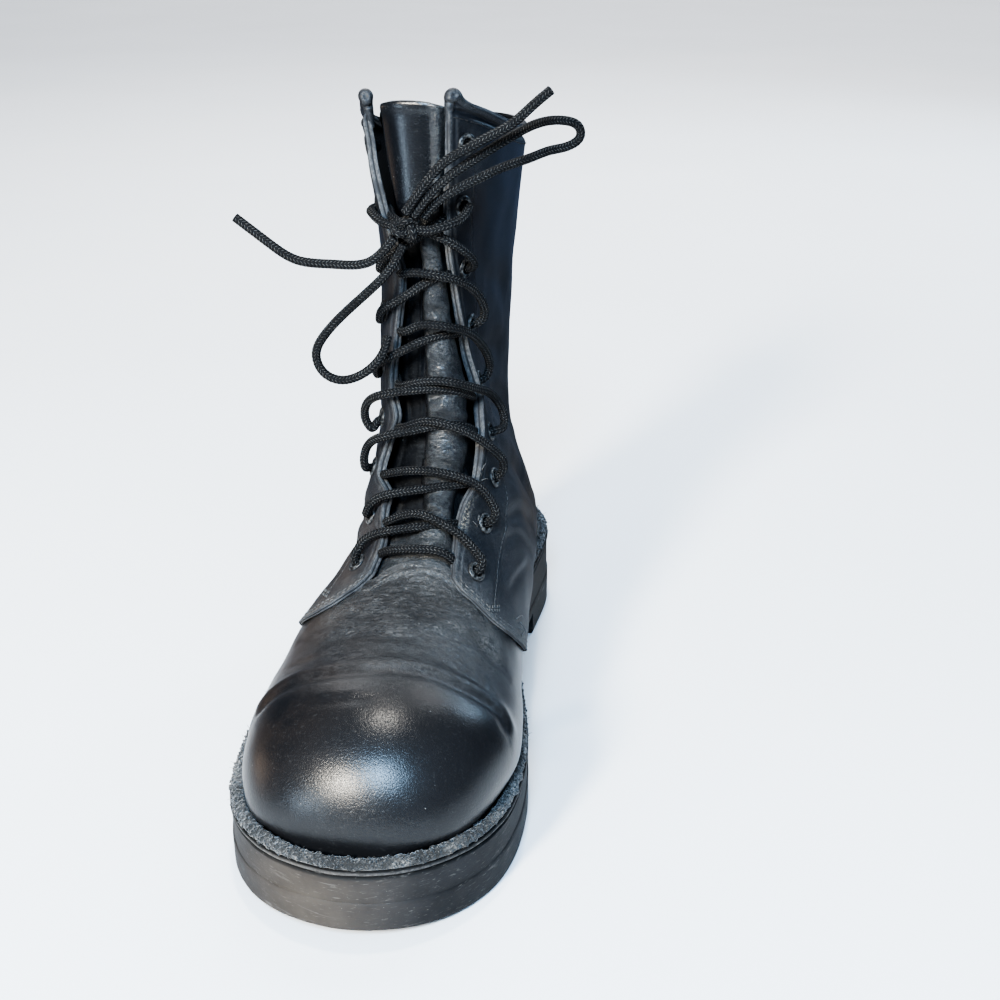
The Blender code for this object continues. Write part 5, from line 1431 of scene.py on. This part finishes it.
def tread_cutters():
    """Chevron grooves of the tread and the rise under the waist, as the CAD cuts them."""
    border = sole_ring(720, TREAD_BORDER)
    shapes = []
    for first, last in TREAD_FIELDS:
        for i in range(int((last - first) // TREAD_PITCH) + 1):
            s = first + i * TREAD_PITCH
            middle = (ring_x(border, 1, s) + ring_x(border, -1, s)) / 2
            inner, outer = [(float(ring_x(border, side, s + TREAD_SWEEP)), s + TREAD_SWEEP) for side in (1, -1)]
            outline = [outer, (float(middle), s), inner]
            outline += [(x, place + GROOVE_WIDTH) for x, place in reversed(outline)]
            shapes.append(prism(outline, -5.0, GROOVE_DEPTH))
    waist = [(ARCH_START, -5.0), (HEEL_BREAST, -5.0), (HEEL_BREAST, ARCH_RISE)]
    for i in range(7):
        part = 1 - i / 7
        s = ARCH_START + part * (HEEL_BREAST - 12.0 - ARCH_START)
        waist.append((s, ARCH_RISE * math.sin(part * math.pi / 2) ** 1.5))
    shapes.append(prism(waist, -90.0, 90.0, along_x=True))
    return shapes


def sole_levels():
    """Rings of the sole's side from the ground up: inset, part of the height, extra height."""
    step, rim = PARTING_STEP, -RIM_HEIGHT
    low = [(0.0, k * PARTING_RISE / 5.0, 0.0) for k in range(1, 6)]
    side = [(step, PARTING_RISE + k * (1 - PARTING_RISE) / 7.0, 0.0) for k in range(1, 6)]
    return ([(EDGE_BEVEL, 0.0, 0.0), (0.35, 0.0, 0.35), (0.0, 0.0, EDGE_BEVEL)] + low
            + [(0.12, PARTING_RISE, 0.3), (step, PARTING_RISE, 0.7)] + side
            + [(step, 1.0, rim - 2.0 * RIM_GROOVE), (0.75, 1.0, rim - 1.7 * RIM_GROOVE),
               (step + RIM_GROOVE, 1.0, rim - 1.25 * RIM_GROOVE),
               (step + RIM_GROOVE, 1.0, rim - 0.8 * RIM_GROOVE),
               (0.7, 1.0, rim - 0.25), (0.25, 1.0, rim + 0.1), (0.0, 1.0, rim + 0.5), (0.0, 1.0, -0.55),
               (0.2, 1.0, -0.15), (0.6, 1.0, 0.0), (3.0, 1.0, 0.0), (9.0, 1.0, 0.0)])


def build_outsole(finish):
    """Thick flat-sided rubber sole with its thin rim, worn at the edges."""
    levels = sole_levels()
    points = []
    for inset, part, extra in levels:
        ring = sole_ring(SOLE_POINTS, inset)
        ground = floor_z(ring[:, 1])
        points.append(np.column_stack([ring, ground + part * (rim_z(ring[:, 1]) - ground) + extra]))
    points = np.concatenate(points)
    faces = ring_faces(len(levels), SOLE_POINTS) + loop_faces(SOLE_POINTS)
    last = (len(levels) - 1) * SOLE_POINTS
    faces += [tuple(last + i for i in face) for face in loop_faces(SOLE_POINTS)]
    # worn unevenness of the side, none on the ground
    x, s, z = points.T
    height = np.clip((z - floor_z(s)) / 3.0, 0, 1)
    out = np.stack([x, s - SOLE_LENGTH / 2, 0 * x], axis=1)
    out /= np.linalg.norm(out, axis=1)[:, None] + 1e-9
    wave = 0.16 * np.sin(s / 5.1 + z / 3.3) * np.sin(x / 6.3 + 1.0)
    wave += 0.10 * np.sin(s / 1.9 + 2 * np.sin(z / 2.1)) * np.sin(x / 2.3)
    points = points + out * (wave * height)[:, None]
    # painted light: the side is lighter and browner round the toe and the outer side, and darker on the inner
    # side as painted shade
    warm = smoothstep(42.0, -22.0, x - 0.10 * s) * (1 - 0.88 * smoothstep(0.0, -46.0, x)) * 0.95 + 0.05
    below = rim_z(s) - z
    # painted shade in the groove under the rim and along the sole's top edge under the welt
    groove = bump(below, RIM_HEIGHT + 1.15 * RIM_GROOVE, 0.85) + 0.8 * smoothstep(0.9, 0.1, below)
    fields = {"warm": warm, "groove": np.clip(groove, 0, 1), "rim": 0.8 * bump(below, 0.6 * RIM_HEIGHT, 0.55)}
    sole = add_piece("sole_worn", (points, faces), [finish], replaces=("outsole",), sharp=38.0,
                     attributes=fields)
    cut_points, cut_faces = joined(tread_cutters())
    mesh = bpy.data.meshes.new("tread_cutter")
    mesh.from_pydata(metres(cut_points).tolist(), [], cut_faces)
    outwards(mesh)
    cutter = new_object("tread_cutter", mesh)
    change = sole.modifiers.new("tread", "BOOLEAN")
    change.operation = "DIFFERENCE"
    change.object = cutter
    settled = bpy.data.meshes.new_from_object(sole.evaluated_get(bpy.context.evaluated_depsgraph_get()))
    sole.modifiers.clear()
    sole.data = settled
    bpy.data.objects.remove(cutter)


def welt_section():
    """Outer ring, top ring and foot ring of the welt's strip as points (x, s)."""
    outline, outer, foot = (sole_ring(WELT_POINTS, inset) for inset in (0.0, WELT_OUTER_INSET, WELT_FOOT_INSET))
    inward = foot - outline
    inward /= np.linalg.norm(inward, axis=1)[:, None]
    s, inner_lean, outer_lean = np.array(WELT_LEAN).T
    lean = np.where(outline[:, 0] > 5.0, np.interp(outline[:, 1], s, inner_lean),
                    np.interp(outline[:, 1], s, outer_lean))
    return outer, outline + inward * lean[:, None], foot


def build_welt(finish):
    """Strip of frayed grey felt: a lumpy band with crumbs standing on it."""
    outer, top, foot = welt_section()
    rings = []
    for share, height in WELT_PROFILE:
        ring = outer + (top - outer) * share
        rings.append(np.column_stack([ring, rim_z(ring[:, 1]) + height]))
    base = np.column_stack([foot, rim_z(foot[:, 1]) + GAP])
    points = np.array(rings + [0.5 * (rings[-1] + base), base])
    noise = RANDOM.normal(0.0, 1.0, points.shape[:2])
    for _ in range(2):
        noise = (noise + np.roll(noise, 1, 1) + np.roll(noise, -1, 1)) / 3 ** 0.5 / 1.1
    free = np.ones((len(points), 1))
    free[[0, -1, -2]] = 0.0
    out = 0.9 * (outer - foot) / np.linalg.norm(outer - foot, axis=1)[:, None]
    points[..., :2] += out * (0.26 * noise * free)[..., None]
    points[..., 2] += 0.22 * np.roll(noise, 7, 1) * free
    shapes = [(points.reshape(-1, 3), ring_faces(len(points), WELT_POINTS, closed=True))]
    inward = np.array([share for share, _ in WELT_PROFILE] + [1.0, 1.0])
    # painted shade: the strip darkens towards the upper, and so do the crumbs on it
    welt_shade = [np.repeat(smoothstep(0.25, 0.75, inward), WELT_POINTS)]
    # crumbs standing on the band
    crumb_points, crumb_faces = crumb_shape()
    for _ in range(CRUMBS):
        i = int(RANDOM.integers(WELT_POINTS))
        row = RANDOM.uniform(1.0, len(WELT_PROFILE) - 1.001)
        k = int(row)
        place = points[k, i] + (points[k + 1, i] - points[k, i]) * (row - k)
        size = RANDOM.uniform(0.28, 0.62) * np.array([1.0, RANDOM.uniform(0.7, 1.5), RANDOM.uniform(0.6, 1.1)])
        turn = random_turn()
        shapes.append((place + (crumb_points * size) @ turn.T, crumb_faces))
        within = inward[k] + (inward[k + 1] - inward[k]) * (row - k)
        welt_shade.append(np.full(len(crumb_points), smoothstep(0.25, 0.75, within) * RANDOM.uniform(0.55, 1.0)))
    return add_piece("welt_band", joined(shapes), [finish], replaces=("welt",),
                     attributes={"welt_shade": np.concatenate(welt_shade)})


def build_fibres(finish):
    """Short loose hairs of the felt."""
    outer, top, _ = welt_section()
    u = np.linspace(0, 1, 5)[:, None]
    shapes = []
    for _ in range(HAIRS):
        i = int(RANDOM.integers(WELT_POINTS))
        share = RANDOM.uniform(-0.05, 0.9)
        height = rim_z(outer[i, 1]) + 2.4 + 0.9 * share
        start = np.append(outer[i] + (top[i] - outer[i]) * share, height)
        out = np.append(outer[i] - top[i], 0.0)
        out /= np.linalg.norm(out)
        way = out * RANDOM.uniform(0.0, 1.0) + RANDOM.normal(0, 0.5, 3) + np.array([0, 0, 0.5])
        way /= np.linalg.norm(way)
        bend = RANDOM.normal(0, 0.5, 3)
        long = RANDOM.uniform(1.0, 2.4)
        line = start + way * long * u + bend * long * 0.5 * u ** 2
        shapes.append(tube(line, np.array([0.09, 0.09, 0.08, 0.06, 0.03]), 4)[0])
    return add_piece("welt_fibres", joined(shapes), [finish])


def crumb_shape():
    """Points and faces of one rough crumb."""
    shape = bmesh.new()
    bmesh.ops.create_icosphere(shape, subdivisions=1, radius=1.0)
    points = np.array([tuple(vertex.co) for vertex in shape.verts])
    faces = [tuple(vertex.index for vertex in face.verts) for face in shape.faces]
    shape.free()
    return points, faces


def random_turn():
    """A seeded turn in space as a 3 by 3 matrix."""
    first = RANDOM.normal(size=3)
    first /= np.linalg.norm(first)
    second = np.cross(first, RANDOM.normal(size=3))
    second /= np.linalg.norm(second)
    return np.stack([first, second, np.cross(first, second)], axis=1)


# ---- camera and lights -----------------------------------------------------------------

CAMERA_PLACE = (136.0, -379.0, 344.0)
CAMERA_YAW = -9.7
CAMERA_DOWN = 23.52
CAMERA_ROLL = 0.18
CAMERA_LENS = 50.94
CAMERA_SHIFT = (-0.023, -0.004)
STUDIO_FRONT = (0.35, 0.41, 0.51)
STUDIO_BACK = (0.030, 0.042, 0.068)
BACKDROP = (0.62, 0.64, 0.67)
STUDIO_TOWARDS = (0.30, -0.72, 0.62)     # the world is lightest this way
DARK_FLOOR_FROM = (0.10, -0.35, 0.0)     # the mirrored floor darkens away from here
FLOOR_REACH = 6.0
# Area lamps: name, place, aim, size, watts, colour, in metres.
LAMPS = (
    # two windows in front give the toe its warm and its bluish highlight
    ("window_warm", (-0.53, -1.52, 1.0), (0.0, -0.12, 0.06), (0.24, 0.44), 58.0, (1.0, 0.93, 0.80)),
    ("window_cool", (0.20, -1.32, 1.30), (0.0, -0.12, 0.06), (0.52, 0.50), 54.0, (0.46, 0.71, 1.0)),
    ("ceiling", (-0.04, 0.20, 1.9), (0.0, 0.0, 0.05), (0.11, 0.11), 13.0, (1.0, 0.95, 0.86)),
    ("door_left", (-0.50, -0.76, 0.165), (0.0, 0.0, 0.20), (0.18, 0.19), 1.8, (0.66, 0.83, 1.0)),
    ("back_cool", (0.88, 1.60, 0.84), (0.02, 0.0, 0.10), (0.25, 0.35), 6.0, (0.50, 0.74, 1.0)),
    ("side_warm", (-1.6, -0.05, 0.09), (0.0, -0.1, 0.08), (0.6, 0.16), 1.6, (1.0, 0.74, 0.52)),
    ("floor_wash", (-0.10, 1.30, 1.50), (-0.10, 1.30, 0.0), (1.6, 1.0), 22.0, (1.0, 1.0, 1.0)),
    ("far_wash", (0.0, 4.2, 2.4), (0.0, 4.2, 0.0), (7.0, 3.0), 110.0, (1.0, 1.0, 1.0)),
)


def build_camera():
    data = bpy.data.cameras.new("view")
    data.lens = CAMERA_LENS
    data.sensor_width = 36.0
    data.shift_x, data.shift_y = CAMERA_SHIFT
    data.clip_start = 0.01
    camera = new_object("view", data)
    yaw, down = math.radians(CAMERA_YAW), math.radians(CAMERA_DOWN)
    ahead = Vector((math.sin(yaw) * math.cos(down), math.cos(yaw) * math.cos(down), -math.sin(down)))
    turn = ahead.to_track_quat("-Z", "Y").to_matrix().to_4x4()
    roll = Matrix.Rotation(math.radians(CAMERA_ROLL), 4, "Z")
    camera.matrix_world = Matrix.Translation(Vector(metres(CAMERA_PLACE))) @ turn @ roll
    bpy.context.scene.camera = camera


def area_light(name, place, aim, size, watts, colour):
    data = bpy.data.lights.new(name, "AREA")
    data.shape = "RECTANGLE"
    data.size, data.size_y = size
    data.energy = watts
    data.color = colour
    lamp = new_object(name, data)
    lamp.location = place
    lamp.visible_camera = False
    lamp.rotation_euler = (Vector(aim) - Vector(place)).to_track_quat("-Z", "Y").to_euler()


def build_lights():
    for lamp in LAMPS:
        area_light(*lamp)
    world = bpy.data.worlds.new("studio")
    bpy.context.scene.world = world
    n = Nodes("", world)
    towards = n.add("VectorMath", {0: n.where.outputs["Generated"], 1: STUDIO_TOWARDS}, operation="DOT_PRODUCT")
    wall = n.mix(n.ramp(towards.outputs["Value"], 0.85, -0.10), STUDIO_FRONT, STUDIO_BACK)
    seen = n.mix(n.add("LightPath").outputs["Is Camera Ray"], wall, BACKDROP)
    n.feed(n.tree.nodes["Background"].inputs["Color"], seen)
    bpy.context.scene.view_settings.view_transform = "AgX"
    bpy.context.scene.view_settings.look = "AgX - High Contrast"


def build_floor():
    n = Nodes("pale_floor")
    # the boot mirrors a darker floor behind it than the eye sees
    glossy = n.add("LightPath").outputs["Is Glossy Ray"]
    away = n.add("VectorMath", {0: n.place, 1: DARK_FLOOR_FROM}, operation="DISTANCE").outputs["Value"]
    dark = n.mix(n.ramp(n.axis("Y"), 0.35, 1.1), (0.040, 0.044, 0.054), (0.040, 0.072, 0.14))
    tone = n.mix(n.noise(3.0, 2.0, 0.5), (0.76, 0.76, 0.76), (0.82, 0.82, 0.82))
    tone = n.mix(n.times(glossy, n.ramp(away, 0.34, 0.62)), tone, dark)
    mesh = bpy.data.meshes.new("floor")
    corners = [(x * FLOOR_REACH, y * FLOOR_REACH, 0) for x, y in ((-1, -1), (1, -1), (1, 1), (-1, 1))]
    mesh.from_pydata(corners, [], [(0, 1, 2, 3)])
    mesh.materials.append(n.finish(tone, 0.75, ()))
    new_object("floor", mesh)


# ---- the whole boot --------------------------------------------------------------------


def refinish(node, finish):
    """A CAD node keeps its shape and gets a better material."""
    for place in bpy.data.objects[node].material_slots:
        place.material = finish


build_camera()
lace_finish = braid()
build_bow(lace_finish)
build_knot(lace_finish)
build_lacing(lace_finish)

edge_finish = raw_edge()
# the leathers' slight bluish cast is painted cool light
outside = leather("boot_leather", (0.0092, 0.0102, 0.0132), 0.34, grain=0.6)
vamp_outside = leather("vamp_leather", (0.0095, 0.0095, 0.0105), 0.25, dull=0.04, grain=0.9)
tongue_outside = leather("tongue_leather_soft", (0.0040, 0.0048, 0.0064), 0.20, grain=0.45)
# the gusset's darker colour is painted shade in the tongue's deep fold
gusset = leather("gusset_leather", (0.0028, 0.0033, 0.0046), 0.50, grain=0.3, level=0.10)
lining = cloth("lining_cloth", (0.0045, 0.0046, 0.0052), (0.015, 0.015, 0.016))
build_vamp([vamp_outside, lining, edge_finish])
build_quarters([outside, lining, edge_finish])
build_binding(outside)
build_tongue([tongue_outside, lining, tongue_outside, gusset])
build_stitches(thread())
build_eyelets(enamel())

build_outsole(rubber())
felt_finish = felt()
build_welt(felt_finish)
build_fibres(felt_finish)
refinish("insole", cloth("insole_cloth", (0.05, 0.047, 0.043), (0.14, 0.132, 0.12)))

build_lights()
build_floor()
